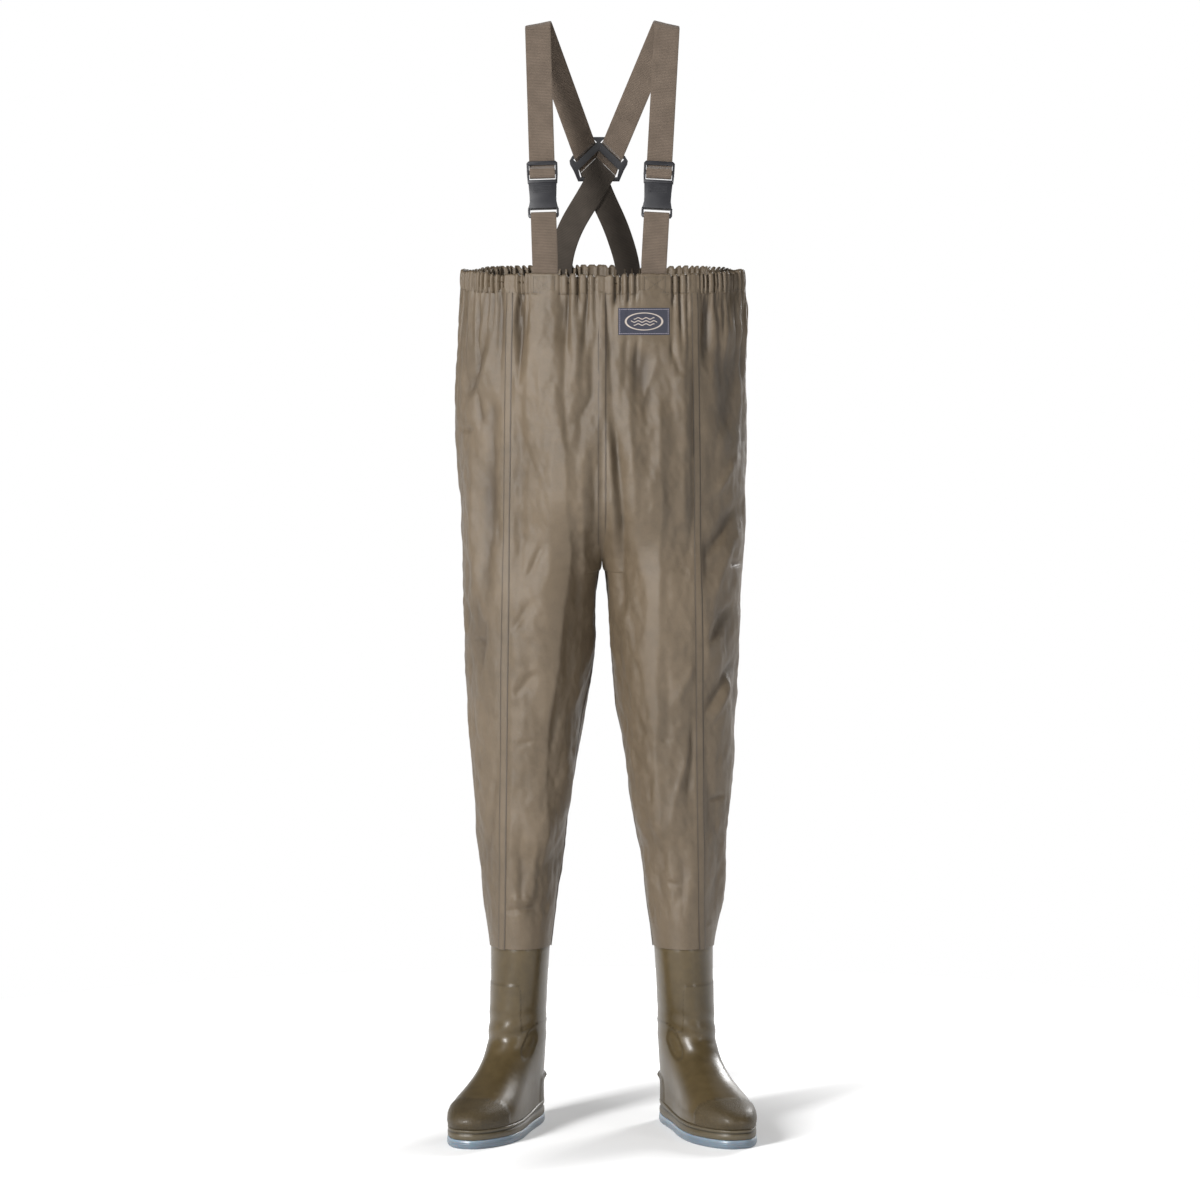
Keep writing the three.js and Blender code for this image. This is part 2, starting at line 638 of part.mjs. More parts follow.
const prongX = 12;
const prongTop = plugFoot - fitGap;
function plugHalf() {
  const { width, thickness, barThickness } = buckle;
  const frame = slab([
    [-width / 2 + 1, plugFoot], [width / 2 - 1, plugFoot], [width / 2, loopSlotTop],
    [width / 2, buckleTop - 3], [width / 2 - 3, buckleTop], [-width / 2 + 3, buckleTop],
    [-width / 2, buckleTop - 3], [-width / 2, loopSlotTop],
  ], barThickness);
  const shoulder = block(-width / 2 + 2, width / 2 - 2, plugFoot, loopSlotBottom, thickness - 1);
  const guideFoot = plugFoot - buckle.prongLength;
  const guide = block(-4.5, 4.5, guideFoot, plugFoot + 1, buckle.cavityThickness - 2);
  return frame.add(shoulder).add(guide)
    .subtract(block(-slotHalf, slotHalf, loopSlotBottom, loopSlotTop, thickness))
    .subtract(block(-slotHalf, slotHalf, entrySlotBottom, entrySlotTop, thickness));
}

function prong(side) {
  const foot = prongTop - buckle.prongLength;
  const barb = buckle.cavityWidth / 2 - 2 * fitGap;
  return toGeometry(slab([
    [prongX - 2.2, prongTop], [prongX + 2, prongTop], [prongX + 2.2, foot + 11],
    [barb, foot + 10], [barb, foot + 5], [prongX + 1.5, foot], [prongX - 2, foot + 1],
  ].map(([x, z]) => [side * x, z]), buckle.cavityThickness - 2.4));
}

const acrossStrap = vector(webbing.width, 0, 0);
const local = ([y, z]) => ({ centre: vector(0, y, z), across: acrossStrap.clone() });

for (const [name, side] of sides) {
  const route = strapRoute(name, side);
  const frame = new THREE.Group();
  frame.applyMatrix4(new THREE.Matrix4()
    .makeBasis(route.across, route.back, route.up).setPosition(route.start));
  const buckleFrame = new THREE.Group();
  buckleFrame.position.y = -strapLayer;
  frame.add(buckleFrame);
  waders.add(frame);
  add(`${name}_buckle_socket`, toGeometry(socketHalf()), plastic, buckleFrame);
  add(`${name}_buckle_plug`, toGeometry(plugHalf()), plastic, buckleFrame);
  add(`${name}_buckle_prong_inner`, prong(-side), plastic, buckleFrame);
  add(`${name}_buckle_prong_outer`, prong(side), plastic, buckleFrame);

  // The webbing's end runs behind the top bar, over the middle bar and up again behind itself.
  const tailLayer = 2 * strapLayer + webbing.thickness + 0.6;
  add(`${name}_strap_tail`, ribbon([
    [0, buckleTop + 1], [0, entrySlotTop - 1.5], [-2 * strapLayer, entrySlotBottom + 1.5],
    [-2 * strapLayer, loopSlotTop - 1.5], [-strapLayer - 1, loopSlotBottom + 4.2],
    [-strapLayer + 3, loopSlotBottom + 3.8], [tailLayer - 2 * strapLayer - 0.8, loopSlotBottom + 5.5],
    [tailLayer - 2 * strapLayer, loopSlotTop - 1],
    [tailLayer - 2 * strapLayer, loopSlotTop + buckle.tailLength],
  ].map(local), webbing.thickness), ribbedWebbing, frame);
  const runLength = route.arcStart.distanceTo(route.start);
  add(`${name}_front_shoulder_strap`, ribbon(
    steps(buckleTop + 1 + fitGap, runLength - fitGap, 6).map((z) => local([0, z])),
    webbing.thickness), ribbedWebbing, frame);

  // The lower strap is sewn inside the waistband and loops round the socket's bar, back onto itself.
  frame.updateMatrixWorld(true);
  const sewn = (height) => insideWaist(side * strapWaistX[name], height, sewnLayer, false);
  const inFrame = ([y, z]) => ({
    centre: vector(0, y, z).applyMatrix4(frame.matrixWorld),
    across: route.across.clone().setLength(webbing.width),
  });
  const barTop = buckle.foot + buckle.bar;
  add(`${name}_lower_strap`, ribbon([
    sewn(rimHeight - sewnDepth), sewn(rimHeight - 2),
    ...[[-layerStep, 16], [-2 * strapLayer, buckle.foot - 20], [-2 * strapLayer, barTop + 0.6],
      [-2 * strapLayer + 1.1, barTop + 1.6], [-1.1, barTop + 1.6], [0, barTop + 0.6],
      [0, buckle.foot - 20], [0, 18]].map(inFrame),
  ], webbing.thickness), ribbedWebbing);

  // The rear webbing folds over the shoulder and passes through a slot of the plate.
  const slope = route.down.clone();
  const alongP = slope.x;
  const alongQ = slope.dot(plateUp);
  const flat = Math.hypot(alongP, alongQ);
  const [stepP, stepQ] = [alongP / flat, alongQ / flat];
  const slotDirection = vector(1, 0, 0).addScaledVector(plateUp, -side).normalize();
  const skew = slotDirection.x * stepQ * -1 + slotDirection.dot(plateUp) * stepP;
  const slotAcross = slotDirection.clone().setLength(webbing.width / Math.abs(skew));
  const level = plate.thickness / 2 + 1.5 * fitGap + webbing.thickness / 2;
  const deep = level + webbing.thickness + fitGap;
  const atPlate = ([along, out]) => ({
    centre: onPlate(side * slotP + along * stepP, slotQ + along * stepQ, out),
    across: slotAcross.clone(),
  });
  const passes = name === 'left'
    ? [[-16, -level], [-2.1, -level], [2.1, level], [15, level], [20.5, -level], [25, -level]]
    : [[-16, -level], [-2.1, -level], [2.1, level], [11, level], [16, deep], [22, deep]];
  const plateStations = passes.map(atPlate);
  const arcEnd = route.arc[route.arc.length - 1];
  const before = plateStations[0].centre.clone().lerp(arcEnd.centre, 0.16);
  add(`${name}_rear_shoulder_strap`, ribbon([
    ...route.arc, { centre: before, across: arcEnd.across.clone() }, ...plateStations,
  ], webbing.thickness), ribbedWebbing);

  // The elastic carries on from the webbing and is sewn inside the back of the waistband.
  const out = name === 'left' ? -level : deep;
  const beginAt = passes[passes.length - 1][0] + fitGap + 0.2;
  const begin = atPlate([beginAt, out]);
  const endX = elasticEndX[name];
  const backRim = rimHeight + rimBackRise;
  const sewnEnds = [backRim - 3, backRim - sewnDepth].map((z) => {
    const end = insideWaist(endX, z - rimBackRise, sewnLayer, true);
    end.centre.z = z;
    return end;
  });
  const drop = begin.centre.clone().sub(sewnEnds[0].centre);
  const free = elasticRoute[name].map(([share, x]) => {
    const centre = sewnEnds[0].centre.clone().addScaledVector(drop, 1 - share);
    centre.x = x;
    return centre;
  });
  const line = [begin.centre, ...free, sewnEnds[0].centre];
  const freeStations = free.map((centre, i) => {
    const along = line[i + 2].clone().sub(line[i]).normalize();
    const across = vector(1, 0, 0).addScaledVector(along, -along.x).setLength(webbing.width);
    return { centre, across };
  });
  add(`${name}_rear_elastic`, ribbon([begin, ...freeStations, ...sewnEnds], elasticThickness),
    smoothElastic);
}

// ---- Crossing plate: two slots above, one wide opening below ----
const lobeTop = plateEdge / diagonal - plateHalfWidth;
const plateOutline = [
  [plate.halfTop, plate.topHeight], [plateHalfWidth - 4, lobeTop + 4],
  [plateHalfWidth, lobeTop - 3], [plateHalfWidth - 1, lobeTop - 9],
  [plateHalfWidth - 6, lobeTop - 18], [plateHalfWidth - 13, -plate.bottomHeight],
];
const bothSides = (outline) => [...outline, ...outline.map(([p, q]) => [-p, q]).reverse()];
const apex = openingEdge / diagonal;
const openingHalf = plateHalfWidth - plate.sideBar;
const openingOutline = bothSides([
  [0.4, apex - 0.4], [openingHalf, apex - openingHalf],
  [openingHalf - 2.7, -plate.bottomHeight + plate.bottomBar],
]);
function plateSlot(side) {
  const corner = (distance, along) => [
    side * (distance - along) * diagonal, (distance + along) * diagonal,
  ];
  return slab([
    corner(slotInner, slotAlong - slotReach), corner(slotOuter, slotAlong - slotReach),
    corner(slotOuter, slotAlong + slotReach), corner(slotInner, slotAlong + slotReach),
  ], 2 * plate.thickness);
}
const plateSolid = slab(bothSides(plateOutline), plate.thickness)
  .subtract(slab(openingOutline, 2 * plate.thickness))
  .subtract(plateSlot(-1)).subtract(plateSlot(1));
const plateFrame = new THREE.Group();
plateFrame.applyMatrix4(new THREE.Matrix4()
  .makeBasis(vector(1, 0, 0), plateOut, plateUp).setPosition(plateCentre));
waders.add(plateFrame);
add('crossing_plate', toGeometry(plateSolid), plastic, plateFrame);

export default waders;
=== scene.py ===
"""Chest waders: coated-cloth legs welded over moulded boots, hung from crossed shoulder straps.

Metres, +Z up, the front facing -Y and +X the wearer's left. Places listed for folds and
stitching are in millimetres, in the same axes. Side is -1 for the wearer's right, +1 for the left.
"""

import math

import bmesh
import bpy
import numpy as np
from mathutils import Matrix, Vector


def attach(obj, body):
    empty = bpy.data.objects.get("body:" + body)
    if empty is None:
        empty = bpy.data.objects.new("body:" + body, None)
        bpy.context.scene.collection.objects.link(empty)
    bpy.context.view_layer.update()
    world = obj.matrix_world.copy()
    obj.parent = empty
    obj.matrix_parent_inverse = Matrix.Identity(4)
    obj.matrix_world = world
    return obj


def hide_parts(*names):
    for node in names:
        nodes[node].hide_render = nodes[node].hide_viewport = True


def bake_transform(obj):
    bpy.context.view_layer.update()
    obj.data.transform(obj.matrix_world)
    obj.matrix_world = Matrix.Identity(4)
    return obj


MM = 0.001
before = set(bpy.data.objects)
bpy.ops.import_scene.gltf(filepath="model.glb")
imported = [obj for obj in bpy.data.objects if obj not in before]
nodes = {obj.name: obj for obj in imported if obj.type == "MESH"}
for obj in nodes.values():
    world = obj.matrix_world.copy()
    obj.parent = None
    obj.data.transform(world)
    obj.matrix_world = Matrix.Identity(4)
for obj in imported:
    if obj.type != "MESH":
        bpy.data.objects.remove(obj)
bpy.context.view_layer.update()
SIDES = (("right", -1), ("left", 1))


# ---- Camera ----
# A long lens a little above the waist, tilted down so that the toes and the back rim both show.
camera_height = 1.35
camera_distance = 7.6
view_centre = Vector((-0.003, 0, 0.8025))
field_width = 1.8

camera_data = bpy.data.cameras.new("camera")
camera = bpy.data.objects.new("camera", camera_data)
bpy.context.scene.collection.objects.link(camera)
camera.location = (view_centre.x, -camera_distance, camera_height)
look = view_centre - camera.location
camera.rotation_euler = look.to_track_quat("-Z", "Y").to_euler()
camera_data.sensor_width = 36
camera_data.lens = camera_data.sensor_width * look.length / field_width
camera_data.clip_end = 100
bpy.context.scene.camera = camera


# ---- Legs and body ----
# Satin-coated nylon cut as a front and a back panel for each side, welded edge to edge. The cloth
# hangs from the waist in long soft creases and is pinched where the waist and the crotch gather it.
body_y = 0.042
cuff_bottom, cuff_top, crotch_height = 0.277, 0.325, 0.845
crotch_rise = 0.062
rim_height, rim_back_rise = 1.290, 0.012
casing_height = 0.030
outer_seam_waist, outer_seam_cuff = 0.137, 0.151
cloth_wall = 0.0013


def profile(*points):
    """A smooth curve through (position, value) points, level past both ends."""
    at, value = np.array(points, float).T
    slope = np.empty(len(at))
    slope[0] = (value[1] - value[0]) / (at[1] - at[0])
    slope[-1] = (value[-1] - value[-2]) / (at[-1] - at[-2])
    slope[1:-1] = (value[2:] - value[:-2]) / (at[2:] - at[:-2])

    def curve(x):
        x = np.clip(x, at[0], at[-1])
        i = np.clip(np.searchsorted(at, x) - 1, 0, len(at) - 2)
        span = at[i + 1] - at[i]
        t = (x - at[i]) / span
        bend = slope[i] * t * (1 - t) ** 2 - slope[i + 1] * t * t * (1 - t)
        return value[i] + (value[i + 1] - value[i]) * t * t * (3 - 2 * t) + span * bend

    return curve


leg_half_width = profile((0.277, 0.0465), (0.427, 0.064), (0.560, 0.080), (0.727, 0.095), (0.845, 0.102))
leg_inner_x = profile((0.277, 0.077), (0.427, 0.0582), (0.560, 0.037), (0.727, 0.016), (0.845, 0.007))
leg_half_depth = profile((0.277, 0.066), (0.560, 0.085), (0.727, 0.1031), (0.845, 0.112))
torso_half_width = profile((0.845, 0.211), (1.08975, 0.219), (1.201, 0.2178), (1.290, 0.211))
torso_half_depth = profile((0.845, 0.118), (1.045, 0.129), (1.290, 0.115))
FULL_TURN = 2 * math.pi


def smooth(low, high, x):
    """An S-shaped step from 0 at low to 1 at high."""
    t = np.clip((x - low) / (high - low), 0, 1)
    return t * t * (3 - 2 * t)


def smooth_body(angle, height):
    """The body without folds, on the +X side. Angle 0 is inside the leg or centre front, 180 outside."""
    half_width = leg_half_width(height)
    leg_x = leg_inner_x(height) + half_width * (1 - np.cos(angle))
    leg_y = -leg_half_depth(height) * np.sin(angle)
    torso_x = torso_half_width(height) * np.sin(angle / 2)
    torso_y = -torso_half_depth(height) * np.cos(angle / 2)
    joined = smooth(crotch_height - 0.05, crotch_height + 0.115, height)
    x = leg_x + (torso_x - leg_x) * joined
    y = leg_y + (torso_y - leg_y) * joined
    rise = np.clip((height - crotch_height) / (0.28 * crotch_rise), 0, 1)
    closing = np.sqrt(1 - (1 - rise) ** 2)
    turned_in = np.exp(-((np.minimum(angle, FULL_TURN - angle) / 0.5) ** 2))
    x = x - (1 - joined) * leg_inner_x(height) * closing * turned_in
    return np.stack([x, body_y + y, height + 0 * angle], -1)


def level_normal(angle, height):
    """The direction straight out of the body, kept level."""
    step = 0.02
    ahead, behind = smooth_body(angle + step, height), smooth_body(angle - step, height)
    round_body = ahead - behind
    out = np.stack([round_body[..., 1], -round_body[..., 0], 0 * round_body[..., 2]], -1)
    return out / np.maximum(np.linalg.norm(out, axis=-1, keepdims=True), 1e-9)


def angle_at_x(x, height):
    low, high = np.zeros(np.shape(height)), np.full(np.shape(height), math.pi)
    for _ in range(30):
        middle = (low + high) / 2
        inside = smooth_body(middle, height)[..., 0] < x
        low, high = np.where(inside, middle, low), np.where(inside, high, middle)
    return low


def seam_angle(height):
    share = (height - cuff_bottom) / (rim_height - cuff_bottom)
    return angle_at_x(outer_seam_cuff + (outer_seam_waist - outer_seam_cuff) * share, height)


def rim_at(angle):
    """The height of the rim, which rises towards the back."""
    return rim_height + rim_back_rise * (1 - np.cos(angle / 2)) / 2


# Creases: (height, reach on the -X side, reach on the +X side, sharpness, places from top to
# bottom). A positive height is a raised fold, a negative one a valley; all in millimetres.
front_creases = [
    # the long pressed fold of the right leg, bright outside and dark inside
    (9.5, 44, 15, 1.1, [(-57, 1215), (-57, 1100), (-54, 1000), (-58, 900), (-63, 810), (-74, 690),
                        (-84, 595), (-87, 500), (-90, 410)]),
    (-6, 7, 8, 1.5, [(-58, 1275), (-57, 1190), (-56, 1090), (-50, 1030)]),
    (-5, 8, 10, 1.6, [(-16, 1180), (-15, 1110), (-30, 1082), (-50, 1062)]),
    (4.5, 14, 13, 1.4, [(-37, 1225), (-34, 1160), (-40, 1110)]),
    (4.5, 12, 14, 1.4, [(-24, 1060), (-29, 980), (-28, 900), (-33, 810)]),
    (-6.5, 9, 8, 1.5, [(-14, 1015), (-11, 950), (-8, 890), (-12, 850)]),
    (-8, 7, 6, 1.4, [(-121, 1275), (-121, 1200), (-123, 1120)]),
    (-3, 10, 12, 1.6, [(-124, 1130), (-122, 1000), (-122, 860), (-124, 800)]),
    (2.5, 16, 20, 1.6, [(-104, 1240), (-106, 1140), (-108, 1000)]),
    (-3.4, 6, 8, 1.4, [(-86, 898), (-101, 862), (-118, 826)]),
    (-3.4, 6, 8, 1.4, [(-103, 812), (-118, 785), (-136, 756)]),
    (-3.2, 5, 7, 1.4, [(-98, 704), (-114, 683), (-131, 660)]),
    (-6.5, 6, 9, 1.4, [(-172, 1215), (-184, 1160), (-203, 1100)]),
    (-4, 5, 6, 1.5, [(-190, 1135), (-186, 1100), (-180, 1060)]),
    (4, 8, 6, 1.3, [(-160, 1225), (-168, 1170), (-190, 1100)]),
    (-5.5, 15, 13, 1.7, [(-167, 1120), (-164, 1020), (-169, 930), (-171, 850), (-172, 790)]),
    (4, 10, 9, 1.5, [(-192, 1040), (-194, 940), (-194, 850), (-197, 780)]),
    (-3.6, 5, 7, 1.3, [(-148, 625), (-156, 560), (-164, 500), (-176, 400)]),
    (-3, 10, 9, 1.6, [(-172, 800), (-180, 740), (-184, 690)]),
    (-4, 9, 8, 1.6, [(-122, 470), (-121, 400), (-119, 332)]),
    (2.5, 7, 7, 1.4, [(-101, 460), (-103, 400), (-101, 335)]),
    (-3, 10, 8, 1.6, [(-70, 660), (-82, 560), (-92, 470)]),
    # the same on the left leg, and the pinch beside the crotch
    (9.5, 46, 17, 1.1, [(86, 1110), (84, 1000), (83, 900), (82, 800), (82, 700), (84, 620), (86, 540),
                        (92, 430)]),
    (-7, 8, 8, 1.5, [(18, 1080), (25, 1000), (31, 925), (31, 860), (33, 775)]),
    (4.5, 7, 8, 1.3, [(9, 1090), (13, 1000), (17, 920), (17, 860)]),
    (-6, 16, 18, 1.7, [(62, 1190), (64, 1120), (66, 1050), (70, 985)]),
    (4, 6, 7, 1.2, [(80, 1168), (70, 1130), (57, 1088)]),
    (3.5, 14, 14, 1.5, [(40, 1150), (42, 1060), (48, 960), (50, 860)]),
    (-5, 7, 7, 1.4, [(20, 1270), (20, 1220), (16, 1165)]),
    (5, 14, 12, 1.4, [(117, 1225), (119, 1130), (120, 1020), (120, 900)]),
    (-4, 5, 7, 1.4, [(101, 1192), (108, 1165), (115, 1135)]),
    (-8, 6, 9, 1.4, [(155, 1275), (154, 1210), (151, 1150)]),
    (-5.5, 15, 14, 1.6, [(207, 1200), (198, 1130), (184, 1050)]),
    (4.5, 8, 7, 1.3, [(203, 1022), (186, 990), (166, 955)]),
    (-5.5, 9, 8, 1.4, [(208, 955), (186, 915), (156, 868)]),
    (4, 9, 7, 1.3, [(206, 912), (188, 868), (168, 800)]),
    (-5, 8, 7, 1.4, [(197, 800), (180, 770), (158, 738)]),
    (-5, 7, 7, 1.3, [(201, 716), (182, 684), (156, 634)]),
    (3.5, 6, 6, 1.3, [(198, 690), (182, 655), (160, 610)]),
    (3.5, 6, 6, 1.2, [(138, 716), (124, 682), (108, 640)]),
    (4.2, 6, 7, 1.2, [(131, 612), (124, 560), (109, 500), (104, 440)]),
    (-3.5, 6, 7, 1.4, [(138, 625), (134, 560), (126, 500)]),
    (-3.4, 5, 6, 1.4, [(172, 480), (178, 410), (174, 330)]),
    (-3, 10, 9, 1.6, [(120, 440), (122, 380), (120, 330)]),
    (-3, 7, 8, 1.5, [(96, 740), (100, 660), (97, 590)]),
]
# Short level wrinkles: (height, reach, height above the floor, from x, to x), in millimetres.
level_wrinkles = [
    (-2.2, 4, 1057, -218, -186), (-1.8, 4, 742, -197, -170), (-2.4, 4, 338, -150, -95),
    (2, 5, 352, -140, -100), (-2, 4, 376, 92, 122), (-2.2, 4, 300, -170, -140), (1.8, 4, 312, 150, 176),
    (-2, 4, 598, 84, 104), (-1.8, 4, 594, -128, -96), (-2.4, 5, 860, 188, 214), (-2, 4, 506, 160, 190),
]


def along_fold(x, z, places):
    """How far each point lies across a fold, and how far inside its two ends, in metres."""
    xs, zs = np.array(places, float).T * MM
    order = np.argsort(zs)
    xs, zs = xs[order], zs[order]
    dense = np.linspace(zs[0], zs[-1], 60)
    line = np.interp(dense, zs, xs)
    for _ in range(12):
        line[1:-1] = (line[:-2] + 2 * line[1:-1] + line[2:]) / 4
    lean = np.gradient(line, dense)
    across = (x - np.interp(z, dense, line)) / np.sqrt(1 + np.interp(z, dense, lean) ** 2)
    fade = min(0.045, 0.35 * (zs[-1] - zs[0]))
    ends = smooth(zs[0] - 0.2 * fade, zs[0] + fade, z) * (1 - smooth(zs[-1] - fade, zs[-1] + 0.2 * fade, z))
    return across, ends


def creased(x, z, creases, wrinkles, mirror=1):
    lift = np.zeros(np.shape(x))
    for height, low_reach, high_reach, sharpness, places in creases:
        places = [(mirror * px, pz) for px, pz in places]
        if mirror < 0:
            low_reach, high_reach = high_reach, low_reach
        across, ends = along_fold(x, z, places)
        reach = np.where(across < 0, low_reach, high_reach) * MM
        soft = np.sqrt(across**2 + (1.5 * MM) ** 2)
        lift += height * MM * ends * np.exp(-((soft / reach) ** sharpness))
    for height, reach, level, start, stop in wrinkles:
        start, stop = sorted((mirror * start * MM, mirror * stop * MM))
        wander = level * MM + 0.002 * np.sin(x * 90 + level)
        ends = smooth(start, start + 0.012, x) * (1 - smooth(stop - 0.012, stop, x))
        lift += height * MM * ends * np.exp(-(((z - wander) / (reach * MM)) ** 2))
    return lift


def ripple(point, across, along, seed, waves=36):
    """Soft random relief, about 1 at its highest; across and along are its typical lengths."""
    random = np.random.default_rng(seed)
    total = np.zeros(point.shape[:-1])
    for _ in range(waves):
        turn = random.uniform(0, FULL_TURN)
        size = random.uniform(0.6, 1.7)
        wave = np.array([math.cos(turn) / across, math.sin(turn) / across, random.normal() / along])
        total += np.sin(FULL_TURN * size * (point @ wave) + random.uniform(0, FULL_TURN))
    return total / math.sqrt(waves)


# Gathers under the elastic waist: pinches at uneven distances round the waist, each with its
# own depth and its own length below the casing. None lies under a strap end or the patch.
strap_waist_x = {"right": -0.086, "left": 0.078}
waist_length = 1.090
gather_random = np.random.default_rng(11)
pinches = []
place = -0.5 * waist_length
while place < 0.5 * waist_length - 0.004:
    place += gather_random.uniform(0.0055, 0.0125)
    deep = gather_random.uniform(0.0022, 0.0048)
    length = gather_random.choice([0.02, 0.045, 0.08, 0.12]) * gather_random.uniform(0.7, 1.3)
    pinches.append((place, deep, length, gather_random.uniform(-0.07, 0.07)))


def waist_calm(side, angle, height):
    """0 where the casing is sewn flat, at the strap ends and the centre seams, and 1 elsewhere."""
    x = side * smooth_body(angle, height)[..., 0]
    front = angle < math.pi
    calm = np.ones(np.shape(x))
    for strap_x in strap_waist_x.values():
        near = 1 - smooth(0.019, 0.027, np.abs(x - strap_x))
        calm = np.minimum(calm, np.where(front, 1 - near, 1))
    seam = 1 - smooth(0.005, 0.012, np.abs(x))
    outer = 1 - smooth(0.004, 0.010, np.abs(np.abs(x) - outer_seam_waist))
    return np.minimum(calm, np.minimum(1 - 0.8 * seam, np.where(front, 1 - 0.7 * outer, 1)))


def gathers(side, angle, height):
    ring = side * angle / FULL_TURN * waist_length / 2
    below = np.maximum(rim_at(angle) - casing_height - height, 0)
    lift = np.zeros(np.shape(ring))
    for place, deep, length, lean in pinches:
        width = 0.0017 + 0.025 * below
        fade = np.exp(-((below / length) ** 1.6))
        across = (ring - place - lean * below) / width
        lift -= deep * fade * np.exp(-(across**2)) * (1 + 0.5 * fade)
    near_waist = np.exp(-((below / 0.05) ** 1.5))
    return lift * waist_calm(side, angle, height) + 0.0012 * near_waist


patch_x, patch_z, patch_width, patch_height = 0.062, 1.221, 0.076, 0.040


def fold_lift(side, angle, height):
    """How far the cloth stands off the smooth body, everywhere on the legs and body."""
    point = smooth_body(angle, height)
    x, z = side * point[..., 0], point[..., 2]
    world = point * np.array([side, 1, 1])
    front = smooth(-0.12, 0.28, (body_y - point[..., 1]) / 0.12)
    back = smooth(-0.12, 0.28, (point[..., 1] - body_y) / 0.12)
    lift = front * creased(x, z, front_creases, level_wrinkles)
    lift += back * creased(x + 0.006, z - 0.014, front_creases, level_wrinkles, -1)
    lift += 0.0016 * ripple(world, 0.11, 0.45, 3) + 0.0007 * ripple(world, 0.045, 0.16, 4)
    lift += 0.0003 * ripple(world, 0.018, 0.05, 5)
    lift += gathers(side, angle, height)
    over_boot = smooth(cuff_bottom, cuff_bottom + 0.07, z)
    torso_seat = smooth(0.0, 0.03, point[..., 0])
    near_crotch = np.exp(-(((z - crotch_height - 0.02) / 0.07) ** 2))
    on_patch = (1 - smooth(0.5, 0.75, np.abs(x - patch_x) / patch_width)) * (
        1 - smooth(0.5, 0.9, np.abs(z - patch_z) / patch_height)) * (angle < math.pi)
    seams = np.minimum(1, 0.25 + smooth(0.004, 0.016, np.abs(np.abs(x) - np.abs(smooth_body(
        seam_angle(height), height)[..., 0])) + np.where(angle < math.pi, 0, 1)))
    lift *= over_boot * (1 - near_crotch * (1 - torso_seat)) * (1 - 0.85 * on_patch) * seams
    return np.clip(1.45 * lift, -0.016, 0.0125)


def cloth_point(side, angle, height, off=0.0):
    angle, height = np.broadcast_arrays(np.asarray(angle, float), np.asarray(height, float))
    point = smooth_body(angle, height)
    lift = fold_lift(side, angle, height) + off
    point = point + level_normal(angle, height) * lift[..., None]
    point[..., 0] = np.maximum(point[..., 0], 0.0002)
    return point * np.array([side, 1, 1])


class Wire:
    """One socket in a material's tree. Arithmetic on wires adds Math nodes."""

    def __init__(self, tree, socket=None):
        self.tree, self.socket = tree, socket

    def node(self, kind, settings=None, inputs=None, output=0):
        """Adds a shader node: its settings first, then values or wires for its sockets."""
        made = self.tree.nodes.new("ShaderNode" + kind)
        for name, value in (settings or {}).items():
            if name == "stops":
                for i, (at, colour) in enumerate(value):
                    stop = made.color_ramp.elements[i] if i < 2 else made.color_ramp.elements.new(at)
                    stop.position, stop.color = at, (*colour, 1)
            else:
                setattr(made, name, value)
        for name, value in (inputs or {}).items():
            if isinstance(value, Wire):
                self.tree.links.new(value.socket, made.inputs[name])
            else:
                made.inputs[name].default_value = value
        return Wire(self.tree, made.outputs[output])

    def maths(self, operation, *values):
        return self.node("Math", {"operation": operation}, dict(enumerate(values)))

    def __add__(self, other):
        return self.maths("ADD", self, other)

    def __sub__(self, other):
        return self.maths("SUBTRACT", self, other)

    def __rsub__(self, other):
        return self.maths("SUBTRACT", other, self)

    def __mul__(self, other):
        return self.maths("MULTIPLY", self, other)

    def __truediv__(self, other):
        return self.maths("DIVIDE", self, other)

    __radd__, __rmul__ = __add__, __mul__

    def waves(self, pitch):
        return self.maths("SINE", self * (FULL_TURN / pitch))

    def step(self, low, high):
        return self.node("MapRange", {"interpolation_type": "SMOOTHSTEP"},
                         {"Value": self, "From Min": low, "From Max": high})

    def mix(self, first, second):
        """A colour between two, by this wire; the colours are triples or wires."""
        settings = {"data_type": "RGBA", "blend_type": "MIX"}
        made = {0: self}
        for slot, colour in ((6, first), (7, second)):
            made[slot] = colour if isinstance(colour, Wire) else (*colour, 1)
        return self.node("Mix", settings, made, 2)


def new_finish(name, constants, paint):
    """A material: constants go on the shader's own sockets, paint(wire) returns what varies."""
    material = bpy.data.materials.new(name)
    material.use_nodes = True
    tree = material.node_tree
    shader = tree.nodes["Principled BSDF"]
    for socket, value in constants.items():
        shader.inputs[socket].default_value = value
    for socket, value in paint(Wire(tree)).items():
        tree.links.new(value.socket, shader.inputs[socket])
    return material


def noise(wire, scale, detail=3, vector=None, roughness=0.5):
    vector = vector or wire.node("TexCoord", output=3)
    return wire.node("TexNoise", None, {"Vector": vector, "Scale": scale, "Detail": detail,
                                        "Roughness": roughness})


def coated_cloth(wire):
    """Close plain weave under a satin coating, its tone uneven at random; the line mark darkens it with
    painted shade in the fold valleys and along the tapes' edges.
    """
    uv = wire.node("UVMap", {"uv_map": "cloth"})
    warp, weft = (wire.node("SeparateXYZ", None, {0: uv}, way).waves(0.0011) for way in (0, 1))
    weave = warp * weft
    cloud = noise(wire, 7, 4)
    mottle = noise(wire, 60, 3)
    scuff = noise(wire, 420, 2)
    tone = cloud * 0.55 + mottle * 0.3 + scuff * 0.15
    colour = tone.step(0.3, 0.7).mix((0.072, 0.053, 0.033), (0.108, 0.080, 0.051))
    # Painted shade: the line mark darkens the panels' fold valleys and the tapes' edges.
    line = wire.node("Attribute", {"attribute_name": "line"}, output=2)
    colour = line.mix(colour, (0.030, 0.022, 0.015))
    relief = weave * 0.35 + scuff * 0.9 + mottle * 1.3
    normal = wire.node("Bump", None, {"Height": relief, "Distance": 0.00022, "Strength": 0.8})
    return {"Base Color": colour, "Roughness": 0.40 + mottle * 0.14, "Normal": normal}


